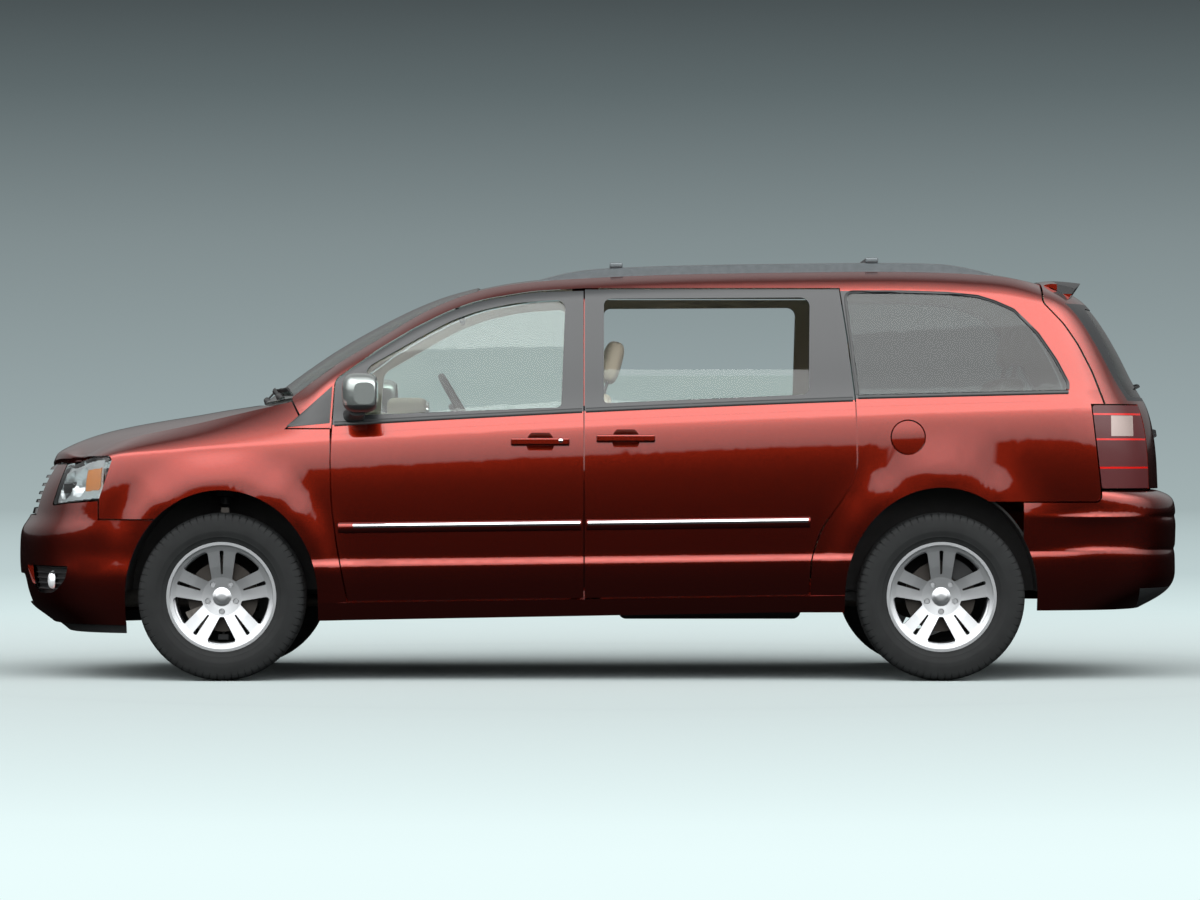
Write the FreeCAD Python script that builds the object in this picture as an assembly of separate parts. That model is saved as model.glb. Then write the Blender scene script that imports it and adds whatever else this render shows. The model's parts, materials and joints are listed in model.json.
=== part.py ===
import FreeCAD
import Part
import math
import os

from FreeCAD import Placement, Rotation, Vector

# A seven-seat minivan with hinged front doors, sliding side doors, a liftgate, a hood and road wheels.
# +X points to the front, +Y to the vehicle's left side and +Z up, with the ground at Z = 0.
# Every length is in millimetres and every angle in degrees.

doc = FreeCAD.newDocument("minivan")
sheet = doc.addObject("Spreadsheet::Sheet", "Sizes")

SIZES = [
    ("wheelbase", 3078, "distance between the axles"),
    ("front_overhang", 957, "front axle to the nose"),
    ("rear_overhang", 1108, "rear axle to the tail"),
    ("front_track", 1651, "between the middles of the front tyres"),
    ("rear_track", 1646, "between the middles of the rear tyres"),
    ("tyre_radius", 360, "outside of the tyre"),
    ("tyre_width", 226, "across the side walls"),
    ("bead_radius", 226, "where the tyre sits on the rim"),
    ("rim_width", 190, "across the rim's two flanges"),
    ("half_width", 964, "middle plane to the widest line of the doors"),
    ("flare", 17, "how far a wheel arch stands out of the side"),
    ("belt_height", 1153, "lower edge of the side windows at the door seam"),
    ("shoulder_drop", 63, "belt line down to the shoulder crease"),
    ("sill_height", 356, "lower edge of the doors at the door seam"),
    ("roof_height", 1730, "roof edge at the door seam"),
    ("roof_crown", 24, "rise of the roof at its middle"),
    ("door_thickness", 92, "whole door below its window"),
    ("frame_thickness", 44, "window frames and upper pillars"),
    ("panel_thickness", 16, "fenders, bumpers and lamps' rims"),
    ("wall_thickness", 58, "rear side walls with their inner trim"),
    ("seam", 6, "gap between body panels"),
    ("glass_thickness", 5, "side and rear windows"),
    ("lens_thickness", 6, "headlamps' clear covers"),
    ("weld_gap", 0.3, "between panels that are welded together"),
    ("door_setback", 469, "front axle back to the front door's leading edge"),
    ("front_door_length", 1081, "front door's leading edge to the door seam"),
    ("sliding_door_length", 1165, "door seam to the sliding door's trailing edge"),
    ("front_arch_height", 457, "front axle up to the top of its wheel arch"),
    ("rear_arch_height", 468, "rear axle up to the top of its wheel arch"),
    ("arch_half_length", 413, "half the length of a wheel arch"),
    ("floor_height", 420, "top of the cabin floor"),
    ("steer_angle", 35, "largest steering angle either way"),
    ("hood_angle", 55, "opening angle of the hood"),
    ("door_angle", 68, "opening angle of a front door"),
    ("gate_angle", 85, "opening angle of the liftgate"),
    ("disc_radius", 151, "brake disc"),
    ("hub_bolt_circle", 127, "diameter of the wheel nuts' circle"),
    ("steering_wheel_radius", 185, "to the middle of the rim's tube"),
    ("seat_width", 500, "one front or middle seat"),
    ("cushion_height", 640, "front edge of a seat cushion above the ground"),
    ("rail_height", 38, "roof rail above the roof edge"),
    ("mirror_height", 168, "door mirror's housing"),
    ("fuel_door_radius", 70, "round fuel door"),
]
for row, (alias, value, note) in enumerate(SIZES, start=1):
    sheet.set(f"A{row}", note)
    sheet.set(f"B{row}", str(value))
    sheet.setAlias(f"B{row}", alias)
doc.recompute()
size = {alias: float(sheet.get(alias)) for alias, value, note in SIZES}

# Places along the vehicle that follow from the sizes
length = size["front_overhang"] + size["wheelbase"] + size["rear_overhang"]
front_axle = length / 2 - size["front_overhang"]
rear_axle = -length / 2 + size["rear_overhang"]
nose_tip = length / 2
tail_tip = -length / 2
door_front = front_axle - size["door_setback"]
door_seam = door_front - size["front_door_length"]
slider_rear = door_seam - size["sliding_door_length"]
half_seam = size["seam"] / 2
lift = size["belt_height"] - 1153
nodes = []


# Curves and heights

def through(points):
    """A smooth function through the points, level with its neighbours where they turn."""
    points = sorted(points)
    xs = [p[0] for p in points]
    ys = [p[1] for p in points]
    count = len(points)
    steps = [(ys[i + 1] - ys[i]) / (xs[i + 1] - xs[i]) for i in range(count - 1)]
    slopes = [steps[0]]
    for i in range(1, count - 1):
        before, after = xs[i] - xs[i - 1], xs[i + 1] - xs[i]
        slopes.append((steps[i - 1] * after + steps[i] * before) / (before + after))
    slopes.append(steps[-1])

    def value(x):
        if x <= xs[0]:
            return ys[0] + slopes[0] * (x - xs[0])
        if x >= xs[-1]:
            return ys[-1] + slopes[-1] * (x - xs[-1])
        i = max(k for k in range(count - 1) if xs[k] <= x)
        span = xs[i + 1] - xs[i]
        t = (x - xs[i]) / span
        a = (1 + 2 * t) * (1 - t) ** 2
        b = t * (1 - t) ** 2
        c = t * t * (3 - 2 * t)
        d = t * t * (t - 1)
        return a * ys[i] + b * span * slopes[i] + c * ys[i + 1] + d * span * slopes[i + 1]

    return value


def ramp(t):
    t = min(1.0, max(0.0, t))
    return t * t * (3 - 2 * t)


def belt_z(x):
    """Lower edge of the side windows: it rises towards the tail and flattens there."""
    back = door_seam - x
    return size["belt_height"] + 0.0484 * back - 5.6e-6 * back * back


def sill_z(x):
    return size["sill_height"] + 0.0142 * (door_seam - x)


def rocker_z(x):
    return sill_z(x) - 78 + 0.004 * (door_seam - x)


def ledge_z(x):
    """Lower character line along the doors."""
    return sill_z(x) + 162 - 0.002 * (door_seam - x)


roof_edge_z = through([
    (front_axle - 283, 1206 + lift), (front_axle - 495, 1363 + lift), (front_axle - 664, 1463 + lift),
    (front_axle - 818, 1560 + lift), (front_axle - 972, 1634 + lift),
    (front_axle - 1101, size["roof_height"] - 53), (front_axle - 1346, size["roof_height"] - 14),
    (door_seam, size["roof_height"]), (door_seam - 1008, size["roof_height"] + 27),
    (rear_axle + 210, size["roof_height"] + 29), (rear_axle - 150, size["roof_height"] + 18),
    (rear_axle - 306, size["roof_height"] + 4), (rear_axle - 400, size["roof_height"] - 18),
])
hood_edge_z = through([
    (front_axle - 243, 1184 + lift), (front_axle - 129, 1158 + lift), (front_axle - 13, 1131 + lift),
    (front_axle + 102, 1104 + lift), (front_axle + 238, 1075 + lift), (front_axle + 370, 1048 + lift),
    (front_axle + 469, 1020 + lift), (front_axle + 567, 983 + lift), (front_axle + 640, 943 + lift),
])
hood_middle_z = through([
    (front_axle - 115, 1186 + lift), (front_axle + 47, 1162 + lift), (front_axle + 166, 1141 + lift),
    (front_axle + 307, 1119 + lift), (front_axle + 443, 1095 + lift), (front_axle + 580, 1064 + lift),
    (front_axle + 675, 1033 + lift), (front_axle + 737, 1004 + lift), (front_axle + 785, 968 + lift),
    (front_axle + 812, 924 + lift),
])
glass_middle_z = through([
    (front_axle - 121, 1188 + lift), (front_axle - 311, 1332 + lift), (front_axle - 471, 1440 + lift),
    (front_axle - 630, 1530 + lift), (front_axle - 790, 1610 + lift), (front_axle - 949, 1672 + lift),
    (front_axle - 1083, size["roof_height"] - 24),
])
nose_x = through([
    (230, nose_tip - 165), (269, nose_tip - 110), (293, nose_tip - 70), (338, nose_tip - 34),
    (420, nose_tip - 8), (500, nose_tip), (580, nose_tip - 1), (645, nose_tip - 9),
    (699, nose_tip - 48), (750, nose_tip - 64), (802, nose_tip - 82), (921, nose_tip - 144),
    (959, nose_tip - 172), (1000, nose_tip - 222),
])
bumper_x = through([
    (300, tail_tip + 190), (330, tail_tip + 130), (358, tail_tip + 80), (413, tail_tip + 33),
    (480, tail_tip + 29), (600, tail_tip + 28), (740, tail_tip + 30), (772, tail_tip + 38),
    (795, tail_tip + 64), (812, tail_tip + 108),
])
gate_x = through([
    (800, tail_tip + 107), (1004, tail_tip + 119), (1099, tail_tip + 135), (1186, tail_tip + 161),
    (1274, tail_tip + 214), (1392, tail_tip + 272), (1492, tail_tip + 329), (1596, tail_tip + 402),
    (1650, tail_tip + 454), (1680, tail_tip + 510), (1700, tail_tip + 564), (1714, tail_tip + 615),
    (1725, tail_tip + 662),
])

def crease_z(x):
    """Shoulder crease under the windows. Ahead of the front wheel it stays under the hood's edge."""
    along = belt_z(x) - size["shoulder_drop"]
    under_hood = hood_edge_z(x) - 42
    if x < front_axle + 150:
        return along
    return (along + under_hood - math.hypot(along - under_hood, 24)) / 2


# The side of the body as a function of place and height
nose_start = front_axle + 250
tail_start = rear_axle - 350
NOSE_POWER = 2.15
TAIL_POWER = 3.0
nose_full = nose_tip - nose_start


def widest(x):
    """Half width along the widest line: a slight barrel in plan."""
    along = (x - rear_axle) / size["wheelbase"]
    return size["half_width"] - 14 * (2 * along - 1.05) ** 2


def flare_at(x, z):
    """Bulge round a wheel arch: highest near the opening, fading over about 130 mm."""
    out = 0.0
    for axle, top in ((front_axle, size["front_arch_height"]), (rear_axle, size["rear_arch_height"])):
        up = max(0.0, z - size["tyre_radius"])
        reach = math.hypot((x - axle) / size["arch_half_length"], up / top)
        out += ramp((1.31 - reach) / 0.20) * size["flare"]
    return out


def lower_side(x, z):
    """Body side up to the belt line, without the wrap at nose and tail."""
    crease = crease_z(x)
    wide = crease - 112
    ledge = ledge_z(x)
    y = widest(x)
    if z >= wide:
        y -= 9.0e-4 * (min(z, crease) - wide) ** 2
    else:
        y -= 1.35e-4 * (wide - z) ** 2
    if z > crease:
        rise = z - crease
        fender = ramp((x - door_front + 30) / 280)
        full = max(40.0, hood_edge_z(min(x, front_axle + 640)) - crease)
        steep = (150 - 0.34 * full) / (full * full)
        y -= 0.34 * rise + (0.0013 * (1 - fender) + steep * fender) * rise * rise
    y += 11 * ramp((ledge + 12 - z) / 24)
    tuck = max(0.0, ledge - 40 - z)
    y -= 5.5e-4 * tuck * tuck
    return y + flare_at(x, z)


def plain_side(x, z):
    """Body side up to the roof edge, without the wrap at nose and tail."""
    belt = belt_z(x)
    if z <= belt:
        return lower_side(x, z)
    rise = z - belt
    y = lower_side(x, belt) - 4 - 0.215 * rise - 1.25e-4 * rise * rise
    below = (roof_edge_z(x) - z) / 92
    if below < 1:
        y -= 96 * min(2.2, (1 - below) ** 2.3)
    ahead = ramp((x - front_axle + 434) / 120)
    return y * (1 - ahead) + lower_side(x, z) * ahead


def nose_short(z):
    """How far the nose stays behind its foremost point at a height."""
    return min(0.48 * nose_full, nose_tip - nose_x(z))


def nose_along(x, z):
    """Share of the way round the nose at x. What the nose is short of counts for little at the sides."""
    short = nose_short(z)
    if short < 0.01:
        return (x - nose_start) / nose_full
    under_root = nose_full ** 2 - 4 * short * (x - nose_start)
    return (nose_full - math.sqrt(max(0.0, under_root))) / (2 * short)


def share_left(along, power):
    """Share of the full width that is left where the plan rounds off."""
    if along <= 0:
        return 1.0
    return max(0.0, 1 - min(along, 1.0) ** power) ** (1 / power)


def side_y(x, z):
    """Outside of the body at the left, at every height up to the roof edge."""
    y = plain_side(x, z)
    if x > nose_start:
        y *= share_left(nose_along(x, z), NOSE_POWER)
    if x < tail_start:
        y *= share_left((x - tail_start) / (gate_x(max(z, 800)) - tail_start), TAIL_POWER)
    return y


def roof_edge_y(x):
    return side_y(x, roof_edge_z(x))


def rounded_end(angle, z, start, full, short, power, sunk):
    """Point on a rounded end of the body. The angle is 0 at the middle plane and 90 at the left side."""
    along = abs(math.cos(math.radians(angle))) ** (2 / power)
    across = abs(math.sin(math.radians(angle))) ** (2 / power)
    x = start + full * along - short * along * along
    half = plain_side(x, z)
    nx = along ** (power - 1) / abs(full - 2 * short * along)
    ny = across ** (power - 1) / half
    norm = math.hypot(nx, ny)
    y = across * half - sunk * ny / norm
    return Vector(x - math.copysign(sunk * nx / norm, full), math.copysign(y, angle), z)


def nose_point(angle, z, sunk=0.0):
    return rounded_end(angle, z, nose_start, nose_full, nose_short(z), NOSE_POWER, sunk)


def gate_point(angle, z, sunk=0.0):
    return rounded_end(angle, z, tail_start, gate_x(z) - tail_start, 0.0, TAIL_POWER, sunk)


def bumper_point(angle, z, sunk=0.0):
    return rounded_end(angle, z, tail_start, bumper_x(z) - tail_start, 0.0, TAIL_POWER, sunk)


def angle_at(share, power):
    """Angle of a rounded end at which the given share of the half width is reached."""
    return math.degrees(math.asin(share ** (power / 2)))


# Solids from surfaces

def patch(grid):
    """A cubic surface that follows a grid of points, rows along u and places along v."""
    count_u, count_v = len(grid), len(grid[0])
    inner_u, inner_v = count_u - 4, count_v - 4
    surface = Part.BSplineSurface()
    surface.buildFromPolesMultsKnots(
        grid,
        [4] + [1] * inner_u + [4],
        [4] + [1] * inner_v + [4],
        [float(i) for i in range(inner_u + 2)],
        [float(i) for i in range(inner_v + 2)],
        False, False, 3, 3,
    )
    return surface.toShape()


def ruled(first, second):
    inner = len(first) - 4
    surface = Part.BSplineSurface()
    surface.buildFromPolesMultsKnots(
        [first, second], [2, 2], [4] + [1] * inner + [4],
        [0.0, 1.0], [float(i) for i in range(inner + 2)], False, False, 1, 3,
    )
    return surface.toShape()


def rim_of(grid):
    return [grid[0], [row[-1] for row in grid], grid[-1], [row[0] for row in grid]]


def slab(outer, inner):
    """A closed wall between two grids of points, with ruled edges."""
    faces = [patch(outer), patch(inner)]
    faces += [ruled(a, b) for a, b in zip(rim_of(outer), rim_of(inner))]
    joined = Part.Compound(faces)
    joined.sewShape(0.01)
    wall = Part.Solid(joined.Shells[0])
    if wall.Volume < 0:
        wall.reverse()
    return wall


def spread(first, last, count):
    return [first + (last - first) * i / (count - 1) for i in range(count)]


def side_wall(x_from, x_to, rows, depth, count=14, inset_from=0.0, inset_to=0.0, sunk=0.0):
    """Wall along the left side: rows are functions of x, depth is its thickness inwards.
    The insets pull the inner face's ends in, so that a hinged end swings clear of its neighbour."""
    def grid(x_list, inward):
        return [[Vector(x, side_y(x, row(x)) - inward, row(x)) for x in x_list] for row in rows]

    outer = grid(spread(x_from, x_to, count), sunk)
    inner = grid(spread(x_from + inset_from, x_to - inset_to, count), sunk + depth)
    return slab(outer, inner)


def level(function, offset=0.0):
    return lambda x: function(x) + offset


def between(low, high, share):
    return lambda x: low(x) + (high(x) - low(x)) * share


def lower_rows(bottom, top_offset=0.0):
    """Rows of a panel from the given bottom to the belt, close together at the ledge and the crease."""
    rows = [bottom, between(bottom, ledge_z, 0.5), level(ledge_z, -34), level(ledge_z, -13),
            level(ledge_z, 0), level(ledge_z, 13), level(ledge_z, 34)]
    rows += [between(level(ledge_z, 34), level(crease_z, -30), s) for s in (0.2, 0.4, 0.6, 0.8)]
    rows += [level(crease_z, -30), level(crease_z, -9), level(crease_z, 0), level(crease_z, 9)]
    rows += [between(level(crease_z, 9), level(belt_z, top_offset), s) for s in (0.5, 1.0)]
    return rows


def upper_rows(top, bottom_offset=0.0):
    """Rows from the belt to the roof edge, close together where the section rounds inwards."""
    low = level(belt_z, bottom_offset)

    def bend(x):
        return min(120.0, 0.6 * (top(x) - low(x)))

    rows = [between(low, lambda x: top(x) - bend(x), s) for s in (0.0, 0.12, 0.35, 0.6, 0.85)]
    return rows + [between(top, lambda x: top(x) - bend(x), s) for s in (1.0, 0.75, 0.57, 0.4, 0.25, 0.12, 0.0)]


def outline(points):
    """Closed wire in the XZ plane. Each point is (x, z) for a sharp corner or (x, z, radius) for a round one."""
    corners = [Vector(p[0], 0, p[1]) for p in points]
    radii = [p[2] if len(p) > 2 else 0.0 for p in points]
    count = len(points)
    edges = []
    ends = []
    for i in range(count):
        here, before, after = corners[i], corners[i - 1], corners[(i + 1) % count]
        turn = (here - before).normalize().getAngle((after - here).normalize())
        if radii[i] <= 0 or turn < 1e-4:
            ends.append((here, here, None))
            continue
        back = (before - here).normalize()
        ahead = (after - here).normalize()
        half = back.getAngle(ahead) / 2
        reach = radii[i] / math.tan(half)
        reach = min(reach, 0.48 * (before - here).Length, 0.48 * (after - here).Length)
        radius = reach * math.tan(half)
        middle = here + (back + ahead).normalize() * (radius / math.sin(half) - radius)
        ends.append((here + back * reach, here + ahead * reach, middle))
    for i in range(count):
        start, stop, middle = ends[i]
        if middle is not None:
            edges.append(Part.Arc(start, middle, stop).toShape())
        following = ends[(i + 1) % count][0]
        if (following - stop).Length > 1e-6:
            edges.append(Part.makeLine(stop, following))
    return Part.Wire(edges)


def prism(points, y_from, y_to):
    wire = outline(points)
    wire.translate(Vector(0, y_from, 0))
    return Part.Face(wire).extrude(Vector(0, y_to - y_from, 0))


def box(x0, x1, y0, y1, z0, z1):
    return Part.makeBox(x1 - x0, y1 - y0, z1 - z0, Vector(x0, y0, z0))


def arch_cutter(axle, top, grow, y_from, y_to):
    """Opening of a wheel arch: an upright half ellipse over a rectangle."""
    wide, high = size["arch_half_length"] + grow, top + grow
    wheel_z = size["tyre_radius"]
    major, minor = max(wide, high), min(wide, high)
    turned = Vector(1, 0, 0) if wide >= high else Vector(0, 0, 1)
    oval = Part.Ellipse(Vector(axle, 0, wheel_z), major, minor)
    if wide < high:
        oval = Part.Ellipse(Vector(axle, 0, wheel_z + high), Vector(axle + wide, 0, wheel_z),
                            Vector(axle, 0, wheel_z))
    else:
        oval = Part.Ellipse(Vector(axle + wide, 0, wheel_z), Vector(axle, 0, wheel_z + high),
                            Vector(axle, 0, wheel_z))
    disc = Part.Face(Part.Wire(oval.toShape())).extrude(Vector(0, y_to - y_from, 0))
    disc.translate(Vector(0, y_from, 0))
    return disc.fuse(box(axle - wide, axle + wide, y_from, y_to, -50, wheel_z))


def mirrored(shape):
    return shape.mirror(Vector(0, 0, 0), Vector(0, 1, 0))


def both(shape):
    return Part.Compound([shape, mirrored(shape)])


def single(shape):
    """The largest solid of a cut, which drops slivers."""
    return max(shape.Solids, key=lambda s: s.Volume)


def add(label, shape):
    feature = doc.addObject("Part::Feature", label)
    feature.Label = label
    feature.Shape = shape
    nodes.append(feature)
    return feature


def add_pair(label, shape):
    add(label + "_left", shape)
    add(label + "_right", mirrored(shape))


def shape_of(label):
    return next(n.Shape for n in nodes if n.Label == label)


OUT = size["half_width"] + 90
SEAM = size["seam"]
FRAME = size["frame_thickness"]
SKIN = size["panel_thickness"]
DOOR = size["door_thickness"]
WELD = size["weld_gap"]
deck = size["floor_height"]
wheel_z = size["tyre_radius"]

# Outlines of the side panels, seen from the left side, from the door's front corner backwards
door_bow = [
    (door_front - 72, sill_z(door_front - 72)), (door_front - 28, 575, 900), (door_front - 5, 760, 900),
    (door_front, 955, 700), (door_front - 6, 1095 + lift, 500),
]
door_top = [
    (door_front - 16, 1284 + lift, 60), (door_front - 199, 1414 + lift, 900), (door_front - 352, 1506 + lift, 900),
    (door_front - 505, 1583 + lift, 900), (door_front - 634, 1629 + lift, 900),
    (door_front - 864, size["roof_height"] - 63, 900),
]
top_z = size["roof_height"] - 51
slider_back = [
    (slider_rear + 77, size["roof_height"] - 12), (slider_rear + 38, 1458, 900), (slider_rear + 8, 1202, 700),
    (slider_rear, 903, 500), (slider_rear + 51, 796, 300), (slider_rear + 158, 647, 300),
    (slider_rear + 197, 519, 200), (slider_rear + 205, sill_z(slider_rear + 205)),
]
front_window = [
    (door_front - 130, belt_z(door_front - 130) + 36, 20), (door_seam + 98, belt_z(door_seam + 98) + 22, 20),
    (door_seam + 80, 1636 + lift, 40), (door_seam + 293, 1621 + lift, 600), (door_seam + 446, 1589 + lift, 700),
    (door_seam + 575, 1543 + lift, 700), (door_seam + 729, 1458 + lift, 700), (door_front - 150, 1342 + lift, 60),
]
slider_window = [
    (door_seam - 85, belt_z(door_seam - 85) + 31, 16), (slider_rear + 204, belt_z(slider_rear + 204) + 31, 30),
    (slider_rear + 196, size["roof_height"] - 86, 40), (door_seam - 85, size["roof_height"] - 91, 30),
]
quarter_window = [
    (slider_rear - 7, 1222 + lift, 20), (rear_axle - 540, belt_z(rear_axle - 540) + 14, 30),
    (rear_axle - 552, 1268 + lift, 30), (rear_axle - 494, 1377 + lift, 500), (rear_axle - 418, 1492 + lift, 400),
    (rear_axle - 316, 1595 + lift, 140), (rear_axle - 163, 1653 + lift, 200),
    (slider_rear + 48, size["roof_height"] - 60, 30),
]


def front_door():
    low = side_wall(door_seam + half_seam, door_front + 40, lower_rows(level(sill_z, -40), 14),
                    DOOR, 16, inset_from=15)
    high = side_wall(door_seam + half_seam, door_front + 40, upper_rows(roof_edge_z, -40), FRAME, 16,
                     inset_from=12)
    edge = [(door_seam - 200, sill_z(door_seam - 200)), *door_bow, *door_top, (door_seam - 200, top_z)]
    door = low.fuse(high).common(prism(edge, 500, OUT))
    return single(door.cut(prism(front_window, 500, OUT)))


def sliding_door():
    low = side_wall(slider_rear - 40, door_seam - half_seam, lower_rows(level(sill_z, -40), 14), DOOR, 16)
    high = side_wall(slider_rear - 40, door_seam - half_seam, upper_rows(roof_edge_z, -40), FRAME, 16)
    edge = [(door_seam + 200, sill_z(door_seam + 200)), (door_seam + 200, top_z), (slider_rear + 70, top_z),
            *slider_back[1:]]
    door = low.fuse(high).common(prism(edge, 500, OUT))
    return single(door.cut(prism(slider_window, 500, OUT)))


def handle(x, z, door):
    """A fixed pull in front of a shallow hand recess."""
    y = side_y(x, z)
    cup = Part.makeSphere(118, Vector(x, y + 100, z))
    door = door.cut(cup.common(box(x - 105, x + 105, y - 30, y + 30, z - 38, z + 38)))
    grip = box(x - 125, x + 125, y + 12, y + 30, z - 16, z + 16)
    grip = grip.makeFillet(7, grip.Edges)
    feet = [box(x + side * 108 - 12, x + side * 108 + 12, y - 12, y + 20, z - 11, z + 11) for side in (-1, 1)]
    return single(door.fuse([grip, *feet]))


def moulding(x_from, x_to, door):
    """Rubbing strip along a door, just above the lower character line."""
    rows = [level(ledge_z, rise) for rise in (126, 130, 138, 150, 162, 170, 173)]
    proud = [-2, 9, 13, 14, 13, 9, -2]
    xs = spread(x_from, x_to, 12)
    outer = [[Vector(x, side_y(x, row(x)) + p, row(x)) for x in xs] for row, p in zip(rows, proud)]
    inner = [[Vector(x, side_y(x, row(x)) - 8, row(x)) for x in xs] for row in rows]
    return single(door.fuse(slab(outer, inner)))


front_panel = front_door()
front_panel = moulding(door_seam + 12, door_front - 32, handle(door_seam + 187, crease_z(door_seam) - 66, front_panel))
slider_panel = sliding_door()
slider_panel = moulding(slider_rear + 200, door_seam - 12, handle(door_seam - 178, crease_z(door_seam) - 52, slider_panel))
add_pair("front_door", front_panel)
add_pair("sliding_door", slider_panel)


# Side windows: the sliding doors' glass is wound down by about a third
def pane(window, x_from, x_to, sunk, top=None):
    glass = side_wall(x_from, x_to, upper_rows(roof_edge_z, -20), size["glass_thickness"], 14, sunk=sunk)
    glass = glass.common(prism(window, 500, OUT))
    if top is not None:
        glass = glass.common(box(x_from, x_to, 500, OUT, 0, top))
    return single(glass)


add_pair("front_door_glass", pane(front_window, door_seam, door_front, 10))
slider_glass = pane(slider_window, slider_rear, door_seam, 10, top=1333 + lift)
quarter_glass = pane(quarter_window, rear_axle - 600, slider_rear + 100, 3)
add("side_glass", Part.Compound([slider_glass, quarter_glass, mirrored(slider_glass), mirrored(quarter_glass)]))


# Windshield and roof between the roof edges
def windshield_grid(sunk, trim):
    rows = []
    for i in range(17):
        u = i / 16
        middle_x = front_axle - 126 - (962 - 6) * u
        edge_x = front_axle - 290 - 794 * u
        row = []
        for j in range(-10, 11):
            t = j / 10
            bow = abs(t) ** 2.2
            x = middle_x + (edge_x - middle_x) * bow
            z = glass_middle_z(middle_x) + (roof_edge_z(edge_x) - glass_middle_z(middle_x)) * bow
            y = t * (roof_edge_y(edge_x) - trim)
            row.append(Vector(x - 0.7 * sunk, y, z - 0.7 * sunk))
        rows.append(row)
    return rows


glass_top_x = front_axle - 1090
roof_rear = rear_axle - 447


def roof_z(x, t):
    return roof_edge_z(x) + size["roof_crown"] * (1 - abs(t) ** 2.2)


def roof_grid(sunk, trim, x_front=None, x_rear=None):
    front = glass_top_x if x_front is None else x_front
    rear = roof_rear if x_rear is None else x_rear
    rows = []
    for i in range(27):
        u = i / 26
        row = []
        for j in range(-10, 11):
            t = j / 10
            x = front + (rear - front) * u
            row.append(Vector(x, t * (roof_edge_y(x) - trim), roof_z(x, t) - sunk))
        rows.append(row)
    return rows


add("windshield", slab(windshield_grid(0, 0), windshield_grid(6, 0)))
add("roof_panel", slab(roof_grid(0, 0), roof_grid(34, 0)))


arch_front = arch_cutter(front_axle, size["front_arch_height"], 0, 400, OUT + 60)
arch_rear = arch_cutter(rear_axle, size["rear_arch_height"], 0, 400, OUT + 60)


# Hood: it curves down to the nose and ends above the grille and the headlamps
hood_corner = front_axle + 640
hood_back = front_axle - 268
corner_share = share_left(nose_along(hood_corner, 949 + lift), NOSE_POWER)


def hood_front_z(share):
    """Height of the hood's front edge against the share of the half width."""
    return 924 + lift + 25 * ramp(share / 0.6)


def hood_front(share):
    z = hood_front_z(abs(share))
    point = nose_point(angle_at(abs(share), NOSE_POWER), z)
    return Vector(point.x, math.copysign(point.y, share), z)


def hood_grid(sunk, trim):
    """Grid over the hood, rows from the windshield to the nose. The trim draws its edges in."""
    shares = [i / 12 for i in range(-12, 13)]
    rows = []
    for i in range(27):
        u = (1 - (1 - i / 26) ** 1.5)
        row = []
        for t in shares:
            front = hood_front(t * corner_share)
            back = hood_back + 160 * (1 - abs(t) ** 2.5) + trim
            x = back + (front.x - trim - back) * u
            edge_x = min(x, hood_corner)
            edge = hood_edge_z(edge_x)
            y = t * (side_y(edge_x, edge) - SEAM - 3 - trim)
            crown = max(0.0, hood_middle_z(x) - edge)
            z = edge + crown * (1 - abs(t) ** 2.2)
            if i == 26:
                y, z = t * (abs(front.y) / max(abs(t), 1e-9)) if t else 0.0, front.z + 2
            row.append(Vector(x, y, z - sunk))
        rows.append(row)
    last, before = rows[-1], rows[-4]
    for k, share in ((-3, 0.33), (-2, 0.66)):
        for j, t in enumerate(shares):
            drawn = rows[k][j]
            straight = before[j] + (last[j] - before[j]) * share
            blend = 0.25 + 0.4 * share
            rows[k][j] = Vector(drawn.x, drawn.y * (1 - blend) + straight.y * blend,
                                drawn.z * (1 - blend) + (straight.z + 6) * blend)
    return rows


HOOD = 18
hood_shape = slab(hood_grid(0, 0), hood_grid(HOOD, 3))
add("hood", hood_shape)


# Fenders
def fender():
    shell = side_wall(door_front - 80, front_axle + 630, [
        level(sill_z, -SEAM), level(ledge_z, -60), level(ledge_z, -34), level(ledge_z, -13), level(ledge_z, 0),
        level(ledge_z, 13), level(ledge_z, 34),
        *[between(level(ledge_z, 34), level(crease_z, -30), s) for s in (0.2, 0.4, 0.6, 0.8)],
        level(crease_z, -30), level(crease_z, -9), level(crease_z, 0), level(crease_z, 9),
        *[between(level(crease_z, 9), hood_edge_z, s) for s in (0.3, 0.6, 0.85, 1.0)],
    ], SKIN, 34)
    edge = [
        (door_bow[0][0] + SEAM, door_bow[0][1]), *[(x + SEAM, z) + tuple(rest) for x, z, *rest in door_bow[1:-1]],
        (door_front + SEAM, 1076 + lift), (front_axle - 267, 1076 + lift), (front_axle - 327, 1133 + lift),
        (front_axle - 290, 1202 + lift), (front_axle - 290, 1300 + lift), (front_axle + 640, 1300 + lift),
        (front_axle + 640, 948 + lift), (front_axle + 594, 961 + lift), (front_axle + 464, 965 + lift, 20),
        (front_axle + 528, 778, 20), (front_axle + 528, 693), (front_axle + 278, 693), (front_axle + 278, 200),
        (door_bow[0][0] + SEAM, 200),
    ]
    hood_space = slab(hood_grid(-40, -SEAM), hood_grid(40, -SEAM))
    return single(shell.common(prism(edge, 300, OUT)).cut(Part.Compound([arch_front, hood_space])))


fender_panel = fender()
add_pair("fender", fender_panel)


# Body sides: sill, pillars, roof edge and rear quarter, cut round the doors
gate_edge = [
    (rear_axle - 447, 1760), (rear_axle - 447, 1623, 40), (rear_axle - 536, 1530, 300), (rear_axle - 597, 1440, 400),
    (rear_axle - 658, 1320, 500), (rear_axle - 705, 1190),
]
lamp_front = rear_axle - 647
lamp_front_low = rear_axle - 690
bumper_side_top = 762
bumper_rear_top = 815
lamp_bottom = 824
lamp_top = 1180


GATE_Y = 640


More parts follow.
